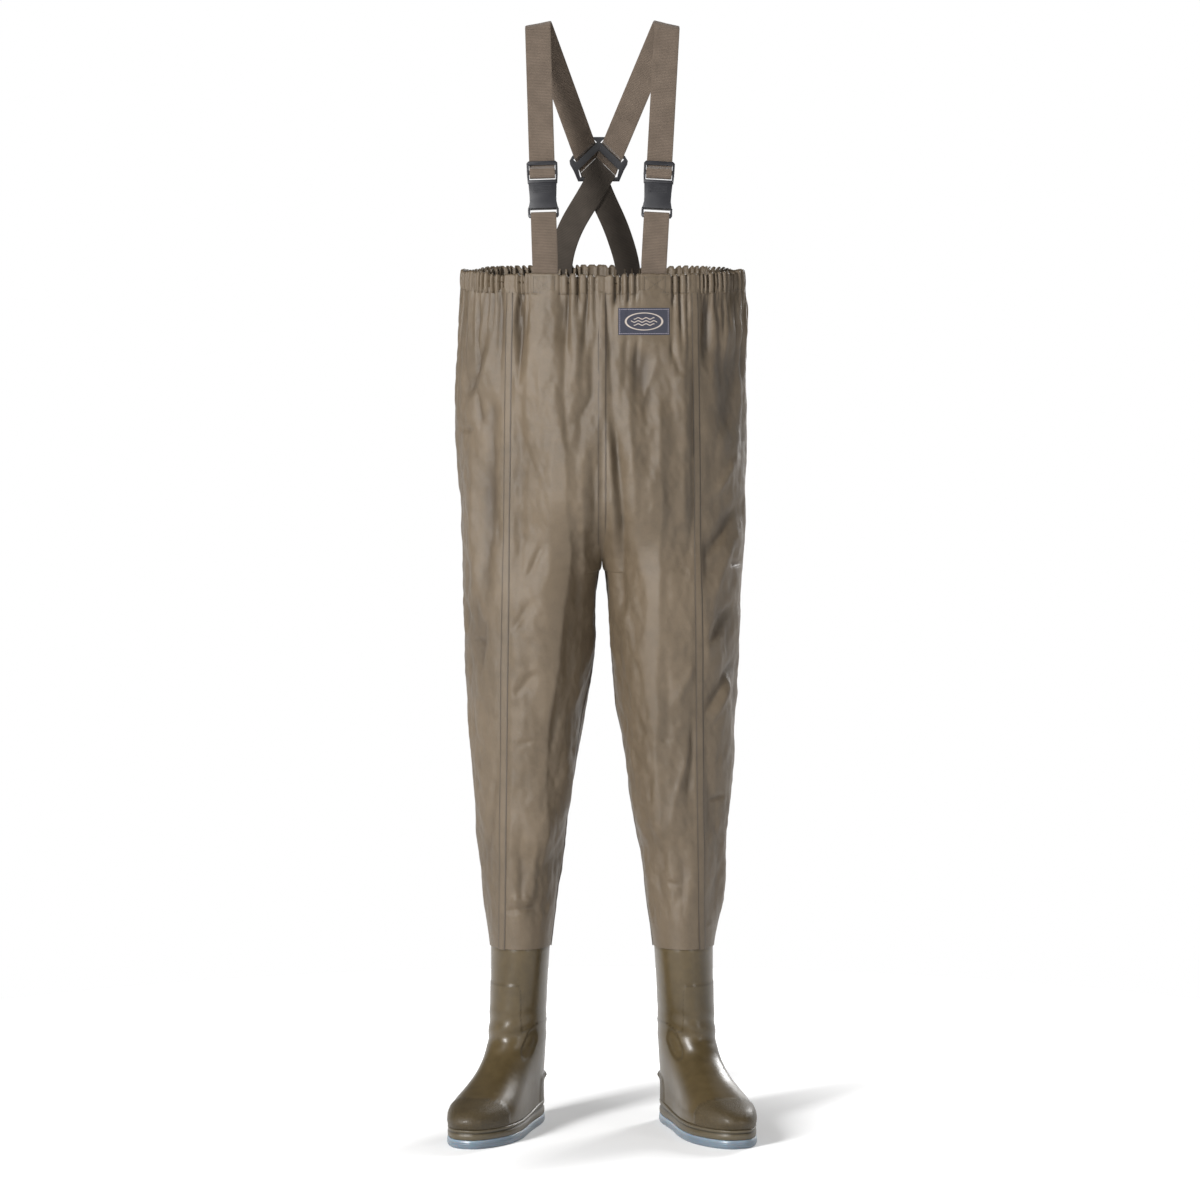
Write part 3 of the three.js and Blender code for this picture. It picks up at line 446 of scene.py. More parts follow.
cloth_finish = new_finish("coated_cloth", {"Specular IOR Level": 0.38}, coated_cloth)


def new_mesh(name, points, quads, material, uv=None, marks=None):
    """A smooth-shaded object of four-sided faces, turned to face outwards."""
    points, quads = np.asarray(points, float).reshape(-1, 3), np.asarray(quads, np.int32)
    a, b, c, d = (points[quads[:, i]] for i in range(4))
    if (np.einsum("ij,ij->", a, np.cross(b, c)) + np.einsum("ij,ij->", a, np.cross(c, d))) < 0:
        quads = quads[:, ::-1]
    mesh = bpy.data.meshes.new(name)
    mesh.vertices.add(len(points))
    mesh.vertices.foreach_set("co", points.astype(np.float32).ravel())
    mesh.loops.add(quads.size)
    mesh.loops.foreach_set("vertex_index", np.ascontiguousarray(quads).ravel())
    mesh.polygons.add(len(quads))
    mesh.polygons.foreach_set("loop_start", np.arange(0, quads.size, 4, dtype=np.int32))
    mesh.update(calc_edges=True)
    mesh.shade_smooth()
    if uv is not None:
        layer = mesh.uv_layers.new(name="cloth")
        spread = np.asarray(uv, np.float32).reshape(-1, 2)[quads.ravel()]
        layer.data.foreach_set("uv", np.ascontiguousarray(spread).ravel())
    for mark, values in (marks or {}).items():
        made = mesh.attributes.new(mark, "FLOAT", "POINT")
        made.data.foreach_set("value", np.asarray(values, np.float32).ravel())
    mesh.materials.append(material)
    thing = bpy.data.objects.new(name, mesh)
    bpy.context.scene.collection.objects.link(thing)
    return thing


def grid_quads(rows, columns, start=0, around=False):
    r, c = np.meshgrid(np.arange(rows - 1), np.arange(columns if around else columns - 1), indexing="ij")
    here, beside = start + r * columns + c, start + r * columns + (c + 1) % columns
    return np.stack([here, beside, beside + columns, here + columns], -1).reshape(-1, 4)


def thin_shell(name, outside, inside, material, uv=None, marks=None):
    """A closed sheet from matching grids of its outside and its inside. The narrow faces round its
    edge have points of their own, so that the broad faces shade smoothly up to the edge."""
    rows, columns = outside.shape[:2]
    count = rows * columns
    face = grid_quads(rows, columns)
    edge = np.concatenate([
        np.arange(columns), columns * np.arange(1, rows) + columns - 1,
        (rows - 1) * columns + np.arange(columns - 2, -1, -1), columns * np.arange(rows - 2, 0, -1)])
    after = np.roll(edge, -1)
    rim = np.stack([edge, edge + count, after + count, after], -1) + 2 * count
    quads = np.concatenate([face, face[:, ::-1] + count])
    points = np.concatenate([outside.reshape(-1, 3), inside.reshape(-1, 3)])
    uv = None if uv is None else np.concatenate([uv.reshape(-1, 2)] * 4)
    marks = {k: np.concatenate([v.ravel()] * 4) for k, v in (marks or {}).items()}
    own_points, rim = np.unique(rim, return_inverse=True)
    own_points -= 2 * count
    uv = None if uv is None else np.concatenate([uv[:2 * count], uv[own_points]])
    marks = {k: np.concatenate([v[:2 * count], v[own_points]]) for k, v in marks.items()}
    points = np.concatenate([points, points[own_points]])
    quads = np.concatenate([quads, rim.reshape(-1, 4) + 2 * count])
    return new_mesh(name, points, quads, material, uv, marks)


def bend_or_ride(thing, stretch):
    """Fixes a piece of the body to the torso; a piece of a leg only has its placement baked into its
    points.
    """
    if stretch == "body":
        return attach(thing, "torso")
    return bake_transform(thing)


def graded(low, high, spacing):
    return np.linspace(low, high, max(2, int(round((high - low) / spacing)) + 1))


crotch_rows = crotch_height + crotch_rise * (1 - np.cos(np.linspace(0, math.pi / 2, 26)))
torso_top_share = (graded(crotch_height + crotch_rise, rim_height - casing_height + 0.006, 0.003)
                   - crotch_height) / (rim_height - casing_height - crotch_height)
torso_shares = np.concatenate([(crotch_rows - crotch_height) / (rim_height - casing_height - crotch_height),
                               torso_top_share[1:]])
stretches = {
    "body": (torso_shares, "torso_panel"),
    "hip": (graded(0.700, crotch_height, 0.003), "thigh_panel"),
    "knee": (graded(0.430, 0.700, 0.003), "shin_panel"),
    "calf": (graded(cuff_bottom, 0.430, 0.003), None),
}
panel_edge = 0.00015


def panel_grid(part, stretch, rows):
    """Angles and heights of one panel's points: rows upwards, columns from its first seam."""
    columns = {"front": 62, "back": 118}[part]
    share = np.linspace(0, 1, columns)[None, :]
    height = np.repeat(np.asarray(rows)[:, None], columns, 1)
    if stretch == "body":
        angle_guess = math.pi * share if part == "front" else FULL_TURN * (0.4 + 0.6 * share)
        top = rim_at(angle_guess) - casing_height
        height = crotch_height + (top - crotch_height) * np.asarray(rows)[:, None]
    seam = seam_angle(height)
    inset = panel_edge / leg_half_width(height)
    first, last = (inset, seam - inset) if part == "front" else (seam + inset, FULL_TURN - inset)
    return first + (last - first) * share, height


def sewn_panel(side_name, side, part, stretch):
    rows, node = stretches[stretch]
    angle, height = panel_grid(part, stretch, rows)
    outside = cloth_point(side, angle, height)
    inside = cloth_point(side, angle, height, -cloth_wall)
    step = np.linalg.norm(np.diff(smooth_body(angle, height), axis=1), axis=-1)
    across = np.concatenate([np.zeros((len(rows), 1)), np.cumsum(step, 1)], 1)
    # Painted shade: the cloth is darkened in its fold valleys, the more the deeper they are.
    painted_fold_shade = 0.5 * smooth(0.0008, 0.0085, -fold_lift(side, angle, height))
    thing = thin_shell(f"{side_name}_{part}_{stretch}_cloth", outside, inside, cloth_finish,
                       np.stack([across, height], -1), {"line": painted_fold_shade})
    bend_or_ride(thing, stretch)
    if node:
        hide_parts(f"{side_name}_{part}_{node}")
    elif part == "front":
        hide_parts(f"{side_name}_leg_cuff")
    widths, lengths = across[:, -1], height.mean(1)
    flat_area = float(np.sum((widths[1:] + widths[:-1]) / 2 * np.diff(lengths)))
    flat = (float(widths.max()), float(lengths[-1] - lengths[0]))
    return thing


for side_name, side in SIDES:
    for part in ("front", "back"):
        for stretch in stretches:
            sewn_panel(side_name, side, part, stretch)


# ---- Seam tapes ----
# Each seam is covered by a welded tape of the same cloth, pressed flat. Both its edges are painted dark
# for the glue line and as painted shade of the edge. The tapes run unbroken from the waist to the boots.
tape_width, tape_wall = 0.0125, 0.0007
tape_columns = np.array([-1, -0.8, -0.72, -0.4, 0, 0.4, 0.72, 0.8, 1.0])


def tape_strip(name, points_at, rows, stretch, node):
    """points_at(offset across the tape, height, lift) gives the tape's places."""
    across, height = np.meshgrid(tape_columns * tape_width / 2, rows)
    edge = np.abs(across) / (tape_width / 2)
    outside = points_at(across, height, tape_wall * (1.35 - 0.75 * smooth(0.75, 1, edge)))
    inside = points_at(across, height, 0.0001 + 0 * edge)
    # Painted dark edge lines: the glue line, and painted shade where the tape's edge slopes down to the
    # cloth.
    line = smooth(0.68, 0.78, edge) * 0.75
    thing = thin_shell(name, outside, inside, cloth_finish, np.stack([across, height], -1), {"line": line})
    bend_or_ride(thing, stretch)
    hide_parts(*node)


def side_tape(side, seam):
    def points_at(across, height, lift):
        angle = seam(height) + across / leg_half_width(height)
        wrapped = np.where(angle < 0, angle + FULL_TURN, angle)
        return cloth_point(side, wrapped, height, lift)
    return points_at


def centre_tape(back):
    def points_at(across, height, lift):
        angle = np.abs(across) * 2 / torso_half_width(height)
        angle = FULL_TURN - angle if back else angle
        point = cloth_point(1, angle, height, lift)
        point[..., 0] = across
        return point
    return points_at


stretch_rows = {
    "body": graded(crotch_height, rim_height - casing_height + 0.003, 0.0035),
    "hip": graded(0.700, crotch_height, 0.0035),
    "knee": graded(0.430, 0.700, 0.0035),
    "calf": graded(cuff_bottom - 0.001, 0.430, 0.0035),
}
for side_name, side in SIDES:
    replaced = {"hip": "outer_thigh_tape", "knee": "outer_shin_tape", "body": "torso_seam_tape"}
    for stretch, rows in stretch_rows.items():
        gone = [f"{side_name}_{replaced[stretch]}"] if stretch in replaced else []
        tape_strip(f"{side_name}_outer_{stretch}_tape", side_tape(side, seam_angle), rows,
                   stretch, gone)
        if stretch != "body":
            gone = [node.replace("outer", "inner") for node in gone]
            tape_strip(f"{side_name}_inner_{stretch}_tape", side_tape(side, lambda z: 0 * z), rows,
                       stretch, gone)
for back, where in ((False, "front"), (True, "back")):
    rows = graded(crotch_height + crotch_rise * 0.25,
                  rim_height - casing_height + 0.003 + 0.012 * back, 0.0035)
    tape_strip(f"centre_{where}_tape", centre_tape(back), rows, "body", [f"centre_{where}_seam_tape"])


# ---- Waistband ----
# The top of the cloth is folded down inside over a broad elastic and stitched through, so that it
# draws up into many short gathers. It lies flat where the straps are sewn to it.
casing_turns = 700
casing_depth = 0.0052
fold_round = 0.0024
casing_face = np.linspace(0, 1, 12)
casing_outline = [(0.0009, -casing_height * (1 - t)) for t in casing_face * 0.93]
casing_outline += [(0.0009 - fold_round * (1 - math.cos(turn)), -fold_round + fold_round * math.sin(turn))
                   for turn in np.linspace(0.2, math.pi - 0.2, 7)]
casing_outline += [(0.0009 - casing_depth, -fold_round - (casing_height - fold_round) * t)
                   for t in casing_face]


def casing_grid(outline, turns):
    ring = np.arange(turns) / turns * FULL_TURN
    angle = np.where(ring <= math.pi, 2 * ring, 2 * (FULL_TURN - ring))
    side = np.where(ring <= math.pi, 1.0, -1.0)
    rows = []
    for off, drop in outline:
        height = rim_at(angle) - rim_back_rise * (1 - np.cos(angle / 2)) / 2 + 0 * angle
        base = smooth_body(angle, height)
        here = rim_at(angle) - casing_height * 0.6
        lift = np.where(side > 0, fold_lift(1, angle, here), fold_lift(-1, angle, here))
        share = -drop / casing_height
        puff = 0.0016 * np.sin(math.pi * np.clip(share, 0, 1)) * np.where(off > -0.002, 1, -0.4)
        calm = np.where(side > 0, waist_calm(1, angle, here), waist_calm(-1, angle, here))
        stand_off = lift * (0.85 + 0.3 * share) + off + puff * calm
        point = base + level_normal(angle, height) * stand_off[:, None]
        point[:, 0] *= side
        pulled = np.where(drop > -0.012, 0.9, 0.0) * np.clip(lift, -0.004, 0.002)
        point[:, 2] = rim_at(angle) + drop + pulled
        rows.append(point)
    return np.stack(rows)


casing_points = casing_grid(casing_outline, casing_turns)
casing_rows = len(casing_outline)
quads = grid_quads(casing_rows, casing_turns, around=True)
closing_row = np.arange(casing_turns)
quads = np.concatenate([quads, np.stack([
    (casing_rows - 1) * casing_turns + closing_row,
    (casing_rows - 1) * casing_turns + (closing_row + 1) % casing_turns,
    (closing_row + 1) % casing_turns, closing_row], -1)])
ring_length = np.arange(casing_turns) / casing_turns * waist_length
casing_uv = np.stack(np.broadcast_arrays(
    ring_length[None, :], np.arange(casing_rows)[:, None] * 0.0027), -1)
waistband = new_mesh("waistband_cloth", casing_points, quads, cloth_finish, casing_uv)
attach(waistband, "torso")
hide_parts("waistband_casing", "waist_elastic")


# ---- Boots ----
# One-piece moulded PVC boots: a plain shaft above a moulded line, a pebbled toe cap and heel
# counter, an ankle pad, a rand with a groove over the sole, and a translucent ribbed sole.
foot_length, heel_reach, foot_width = 0.300, 0.070, 0.106
toe_reach = foot_length - heel_reach
toe_out = math.radians(20)
ankle_height, ankle_width = 0.127, 0.0795
sole_top, shaft_top = 0.028, 0.315
ankle_x = 0.077 + 0.093 - ankle_width / 2
front_reach = profile((0.027, 0.95), (0.040, 0.98), (0.053, 0.93), (0.063, 0.82), (0.074, 0.68),
                      (0.086, 0.55), (0.100, 0.44), (0.118, 0.355), (0.137, 0.30))
boot_half_width = profile((0.127, ankle_width / 2), (0.277, 0.0446))
boot_half_depth = profile((0.127, 0.061), (0.217, 0.062), (0.277, 0.0641))
foot_half = profile((-0.070, 0.68), (-0.046, 0.70), (0.0345, 0.70), (0.115, 0.93), (0.156, 1),
                    (0.202, 0.93), (0.230, 0.84))


def boot_ring(side, height, columns, offset=0.0):
    """One level outline of a boot, with how far ahead each point lies and its turn round."""
    foot = np.clip((ankle_height + 0.005 - height) / (ankle_height - sole_top - 0.014), 0, 1) ** 0.8
    in_leg = height > cuff_bottom
    half_width = leg_half_width(height) - 0.0022 if in_leg else float(boot_half_width(height))
    depth = leg_half_depth(height) - 0.0022 if in_leg else float(boot_half_depth(height))
    reach = max(float(front_reach(height)) * toe_reach, depth)
    front = depth + (reach - depth) * (1 - float(smooth(0.100, 0.158, height))) + offset
    heel = depth + (heel_reach - 0.002 - depth) * foot + offset
    turn_share = (cuff_bottom - 0.02 - height) / (cuff_bottom - 0.02 - ankle_height)
    turn = toe_out * float(np.clip(turn_share, 0, 1))
    centre = float(leg_inner_x(height) + leg_half_width(height)) if in_leg else min(
        0.170 - float(boot_half_width(height)) - 0.0019, ankle_x)
    angle = np.arange(columns) / columns * FULL_TURN
    along = (front - heel) / 2 + (front + heel) / 2 * np.cos(angle)
    sine = np.sin(angle)
    half = half_width + (foot_half(along) * foot_width / 2 - half_width) * foot + offset
    sideways = np.sign(sine) * np.abs(sine) ** (1 - 0.28 * foot) * half
    x = side * (centre + along * math.sin(turn) + sideways * math.cos(turn))
    y = body_y - along * math.cos(turn) + sideways * math.sin(turn)
    return np.stack([x, y, np.full(columns, height)], -1), along, angle


def boot_relief(along, angle, height):
    """Raised and sunk details: (lift, painted shade along their edges, pebble amount). Angle 0 is the toe,
    90 outside.
    """
    front_turn = np.angle(np.exp(1j * angle))
    line_height = 0.162 + 0.060 * smooth(-0.62, -0.10, front_turn) * (1 - smooth(2.6, 2.95, front_turn))
    line_height = (line_height - 0.012 * smooth(-1.2, -0.6, front_turn)
                   * (1 - smooth(-0.6, -0.2, front_turn)))
    panel = 1 - smooth(-0.0007, 0.0007, height - line_height)
    lift = 0.0009 * panel
    # Painted shade along the moulded step; the pad, cap and counter edges below are darkened the same way.
    line = 0.55 * np.exp(-(((height - line_height) / 0.0011) ** 2))
    pad_x = (front_turn + 0.98) / 0.30
    pad_z = (height - 0.131) / 0.024
    from_pad = np.sqrt(pad_x**2 * (1 + 0.5 * np.clip(pad_z, 0, 1)) + pad_z**2)
    pad = 1 - smooth(0.75, 1.0, from_pad)
    pad_edge = np.exp(-(((from_pad - 0.9) / 0.10) ** 2))
    lift = lift - 0.0016 * pad
    line = line + 0.35 * pad_edge
    cap_edge = 0.162 + 0.010 * np.cos(2.0 * front_turn)
    cap = smooth(-0.0012, 0.0012, along - cap_edge) * (1 - smooth(0.084, 0.088, height))
    lift = lift + 0.0011 * cap
    line = line + 0.45 * np.exp(-(((along - cap_edge) / 0.0016) ** 2)) * (height < 0.088)
    counter_top = np.minimum(0.074 - 0.25 * (along + 0.02), 0.076)
    counter = 1 - smooth(-0.001, 0.001, height - counter_top)
    counter = counter * (1 - smooth(-0.002, 0.004, along + 0.012))
    spur = np.exp(-(((height - 0.071) / 0.005) ** 2)) * (1 - smooth(-0.052, -0.040, along))
    lift = lift + 0.0013 * counter + 0.0042 * spur
    line = line + 0.4 * np.exp(-(((height - counter_top) / 0.0013) ** 2)) * (along < -0.012)
    ankle_sag = 0.0012 * np.sin(height * 210 + 2 * np.sin(angle))
    ankle_sag = ankle_sag * np.exp(-(((height - 0.150) / 0.03) ** 2))
    lift = lift + ankle_sag * (0.4 + 0.6 * np.clip(np.cos(angle), 0, 1))
    return lift, np.clip(line, 0, 0.8), np.clip(cap + 0.8 * counter, 0, 1)


def moulded_pvc(wire, low, high):
    """Semi-gloss plastic skin with a faint flow texture, pebbled where the mould is grained, with painted
    shade along its moulded lines and grooves and between the pebbles.
    """
    line = wire.node("Attribute", {"attribute_name": "line"}, output=2)
    pebble = wire.node("Attribute", {"attribute_name": "pebble"}, output=2)
    cloud, mottle = noise(wire, 9, 4), noise(wire, 70, 3)
    cells = wire.node("TexVoronoi", {"feature": "SMOOTH_F1"}, {
        "Vector": wire.node("TexCoord", output=3), "Scale": 620, "Smoothness": 0.35})
    fine = noise(wire, 900, 2)
    tone = cloud * 0.6 + mottle * 0.4
    colour = tone.step(0.3, 0.7).mix(low, high)
    # Painted shade in the hollows between the pebbles.
    colour = (pebble * cells.step(0.15, 0.6) * 0.5).mix(colour, tuple(0.5 * c for c in low))
    # Painted shade along the moulded lines and grooves, from the line mark.
    colour = line.mix(colour, tuple(0.35 * c for c in low))
    relief = fine * 0.25 + mottle * 0.8 + pebble * (1 - cells) * 3.4
    normal = wire.node("Bump", None, {"Height": relief, "Distance": 0.00025, "Strength": 0.55})
    rough = 0.30 + mottle * 0.12 + pebble * 0.22
    return {"Base Color": colour, "Roughness": rough, "Normal": normal}


boot_finish = new_finish("boot_pvc", {"Specular IOR Level": 0.36, "Coat Weight": 0.12,
                                      "Coat Roughness": 0.22},
                         lambda wire: moulded_pvc(wire, (0.046, 0.032, 0.013), (0.070, 0.049, 0.021)))
rand_finish = new_finish("rand_pvc", {"Specular IOR Level": 0.45},
                         lambda wire: moulded_pvc(wire, (0.062, 0.048, 0.026), (0.088, 0.070, 0.042)))


def clear_sole(wire):
    """Cloudy grey-blue plastic, lighter towards its edges, with fine side ribs."""
    cloud = noise(wire, 22, 4)
    height = wire.node("SeparateXYZ", None, {0: wire.node("TexCoord", output=3)}, 2)
    pale = height.step(0.008, 0.0128)
    colour = (cloud * 0.5 + pale * 0.6).mix((0.090, 0.120, 0.150), (0.22, 0.28, 0.34))
    ribs = height.waves(0.003)
    normal = wire.node("Bump", None, {"Height": ribs, "Distance": 0.0002, "Strength": 0.5})
    return {"Base Color": colour, "Roughness": 0.25 + cloud * 0.15, "Normal": normal}


sole_finish = new_finish("sole_pvc", {"Subsurface Weight": 0.25, "Subsurface Scale": 0.01,
                                      "Transmission Weight": 0.12, "IOR": 1.5}, clear_sole)


def felt(wire):
    fuzz = noise(wire, 500, 4)
    normal = wire.node("Bump", None, {"Height": fuzz, "Distance": 0.0005, "Strength": 0.9})
    colour = fuzz.step(0.3, 0.7).mix((0.03, 0.028, 0.025), (0.07, 0.065, 0.06))
    return {"Base Color": colour, "Normal": normal}


felt_finish = new_finish("insole_felt", {"Roughness": 0.95, "Sheen Weight": 0.3}, felt)


def stacked_rings(name, rings, material, marks=None):
    """A closed solid through level rings of equal length, with its two ends capped by fans."""
    columns = len(rings[0])
    points = np.concatenate([*rings, rings[0].mean(0)[None], rings[-1].mean(0)[None]])
    quads = grid_quads(len(rings), columns, around=True)
    column = np.arange(0, columns, 2)
    last = (len(rings) - 1) * columns
    low, high = len(points) - 2, len(points) - 1
    ends = [np.stack([column, np.full_like(column, low), (column + 2) % columns, column + 1], -1),
            np.stack([last + column, last + column + 1, last + (column + 2) % columns,
                      np.full_like(column, high)], -1)]
    quads = np.concatenate([quads, *ends])
    marks = {k: np.concatenate([*v, [0, 0]]) for k, v in (marks or {}).items()}
    return new_mesh(name, points, quads, material, None, marks)


boot_columns = 168
boot_wall = 0.004
for side_name, side in SIDES:
    body = f"{side_name}_boot"
    rings, lines, pebbles = [], [], []
    for height in graded(sole_top + 0.0003, shaft_top, 0.0026):
        ring, along, angle = boot_ring(side, height, boot_columns)
        ahead = np.roll(ring, -1, 0) - np.roll(ring, 1, 0)
        out = np.stack([ahead[:, 1], -ahead[:, 0], 0 * along], -1) * side
        out = -out / np.linalg.norm(out, axis=1, keepdims=True)
        if np.sum(out * (ring - ring.mean(0))) < 0:
            out = -out
        lift, line, pebble = boot_relief(along, angle, height)
        if height > cuff_bottom - 0.002:
            lift = lift * 0 - 0.0006
        rings.append(ring + out * lift[:, None])
        lines.append(line)
        pebbles.append(pebble)
    inner_levels = [shaft_top, 0.290, 0.250, 0.210, 0.165, 0.139, 0.118, 0.100, 0.086, 0.074, 0.063,
                    0.053, sole_top + boot_wall + 0.001]
    for height in inner_levels:
        ring, along, angle = boot_ring(side, min(height + 0.003, shaft_top), boot_columns, -boot_wall)
        ring[:, 2] = height
        rings.append(ring)
        lines.append(0 * along)
        pebbles.append(0 * along)
    shell = stacked_rings(f"{side_name}_boot_skin", rings, boot_finish, {"line": lines, "pebble": pebbles})
    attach(shell, body)
    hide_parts(f"{side_name}_boot_shell")

    # The rand bulges over the sole and is grooved below its upper edge, with painted shade in the groove;
    # its pebbling matches the cap.
    rand_profile = [(0.0133, 0.0020), (0.0145, 0.0028), (0.0185, 0.0031), (0.0215, 0.0028),
                    (0.0226, 0.0012), (0.0236, 0.0010), (0.0246, 0.0026), (0.0268, 0.0030),
                    (0.0280, 0.0024)]
    rings, lines = [], []
    for height, off in rand_profile:
        ring, along, angle = boot_ring(side, sole_top, boot_columns, off)
        heel_rise = 0.006 * (1 - smooth(-0.02, 0.05, along)) * smooth(0.020, 0.027, height)
        ring[:, 2] = height + heel_rise
        rings.append(ring)
        # Painted shade in the groove.
        lines.append(np.full(boot_columns, 0.8 if 0.022 < height < 0.024 else 0.0))
    rand = stacked_rings(f"{side_name}_rand", rings, rand_finish,
                         {"line": lines, "pebble": [np.full(boot_columns, 0.35)] * len(rings)})
    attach(rand, body)
    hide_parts(f"{side_name}_midsole")

    sole_profile = [(0.0, 0.0006), (0.0012, 0.0028), (0.004, 0.0040), (0.0085, 0.0036), (0.0118, 0.0034),
                    (0.0130, 0.0022)]
    rings = []
    for height, off in sole_profile:
        ring, along, angle = boot_ring(side, sole_top, boot_columns, off)
        ring[:, 2] = height
        rings.append(ring)
    sole = stacked_rings(f"{side_name}_sole", rings, sole_finish)
    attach(sole, body)
    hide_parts(f"{side_name}_outsole")

    nodes[f"{side_name}_insole"].data.materials.clear()
    nodes[f"{side_name}_insole"].data.materials.append(felt_finish)


# ---- Straps ----
# 38 mm ribbed webbing. In front it is sewn inside the waist, loops round the socket's bar, and
# runs on from the buckle over the shoulder; behind, it crosses through the plate's slots, where
# smooth darker elastics take over and run down to the back of the waist.
strap_width, strap_wall, gap = 0.038, 0.0015, 0.0003
strap_top, fold_radius, rib_pitch = 1.665, 0.010, 0.0023
strap_top_x = {"right": 0.096, "left": 0.097}
sewn_layer = 0.0050 + gap + 0.00045 + 0.000466 + strap_wall / 2
layer_step = strap_wall + gap
sewn_depth = 0.026


def inside_waist(x, height, depth, behind):
    """A place inside the waistband, and the direction round it, as wide as a strap."""
    half_width, half_depth = float(torso_half_width(height)), float(torso_half_depth(height))
    sine = x / half_width
    cosine = (-1 if behind else 1) * math.sqrt(1 - sine * sine)
    out = Vector((sine / half_width, -cosine / half_depth, 0)).normalized()
    round_it = Vector((-out.y, out.x, 0))
    centre = Vector((x, body_y - half_depth * cosine, height)) - out * depth
    return centre, round_it * math.copysign(strap_width, round_it.x)


plate_x, plate_z, plate_wall = -0.005, 1.463, 0.003
waist_half_depth = 0.115
back_waist_y = body_y + waist_half_depth - sewn_layer
plate_up = Vector((0, body_y + fold_radius - back_waist_y,
                   strap_top - rim_height - rim_back_rise)).normalized()
plate_out = Vector((0, plate_up.z, -plate_up.y))
plate_drop = (strap_top - plate_z) / plate_up.z
plate_centre = Vector((plate_x, body_y + fold_radius - plate_up.y * plate_drop, plate_z))
plate_edge, outer_bar, half_slot = 0.0445, 0.005, 0.003
slot_middle = plate_edge * math.sqrt(0.5) - outer_bar - half_slot
slot_p = (strap_width + 0.003) / 2
slot_q = slot_middle * math.sqrt(2) - slot_p


def on_plate(p, q, out=0.0):
    """A place on the crossing plate: p to the side and q up from its centre, out along its normal."""
    return plate_centre + Vector((p, 0, 0)) + plate_up * q + plate_out * out


def strap_route(side_name, side):
    """Where a strap leaves the waist, its directions up and down, and its turn over the shoulder."""
    start = inside_waist(side * abs(strap_waist_x[side_name]), rim_height,
                         sewn_layer + layer_step, False)[0]
    fold_centre = Vector((side * strap_top_x[side_name], body_y, strap_top - strap_wall - fold_radius))
    target = on_plate(side * slot_p, slot_q, -plate_wall / 2 - gap - strap_wall / 2)
    level = Vector((1, 0, 0))
    up, down = (fold_centre - start).normalized(), (target - fold_centre).normalized()
    for _ in range(4):
        across = (level - up * up.x).normalized()
        back = up.cross(across)
        arc_start = fold_centre - back * fold_radius
        turn_over = (up - down).normalized()
        axis = (level - turn_over * turn_over.x).normalized()
        lead = math.asin(axis.dot(up))
        rise = (up - axis * axis.dot(up)).normalized()
        fall = (down - axis * axis.dot(down)).normalized()
        over = (fall - rise * rise.dot(fall)).normalized()
        arc = []
        for turn in np.linspace(0, rise.angle(fall), 12):
            along = rise * math.cos(turn) + over * math.sin(turn)
            centre = arc_start + rise * (fold_radius * math.sin(turn)) + over * (
                fold_radius * (1 - math.cos(turn))) + axis * (fold_radius * turn * math.tan(lead))
            width = axis * math.cos(lead) - along * math.sin(lead)
            arc.append((centre, width.normalized() * strap_width))
        placed = start, up, down, across, back, arc_start, arc
        up = (arc_start - start).normalized()
        down = (target - arc[-1][0]).normalized()
    return placed


def webbing_paint(wire, low, high, fibre):
    """Ribbed or plain narrow weave: the big ribs are modelled, the threads are bumped, and painted shade
    darkens the troughs between the ribs and the strap's edges.
    """
    uv = wire.node("UVMap", {"uv_map": "cloth"})
    across, along = (wire.node("SeparateXYZ", None, {0: uv}, way) for way in (0, 1))
    threads = across.waves(0.0011) * 0.5 + along.waves(0.00077) * 0.35
    wear, fuzz = noise(wire, 45, 4), noise(wire, 900, 3)
    shade = (across.waves(0.0011) * 0.12 + wear * 0.6 + fuzz * 0.4)
    colour = shade.step(0.25, 0.75).mix(low, high)
    painted_rib_shade = wire.node("Attribute", {"attribute_name": "line"}, output=2)
    colour = painted_rib_shade.mix(colour, tuple(0.30 * c for c in low))
    normal = wire.node("Bump", None, {"Height": threads + fuzz * 0.8, "Distance": fibre, "Strength": 0.8})
    return {"Base Color": colour, "Roughness": 0.78 + fuzz * 0.12, "Normal": normal}


webbing_finish = new_finish(
    "ribbed_webbing", {"Sheen Weight": 0.25, "Specular IOR Level": 0.25},
    lambda wire: webbing_paint(wire, (0.082, 0.060, 0.043), (0.128, 0.096, 0.071), 0.00022))
elastic_finish = new_finish(
    "smooth_elastic", {"Sheen Weight": 0.2, "Specular IOR Level": 0.25},
    lambda wire: webbing_paint(wire, (0.036, 0.028, 0.021), (0.058, 0.046, 0.036), 0.00014))


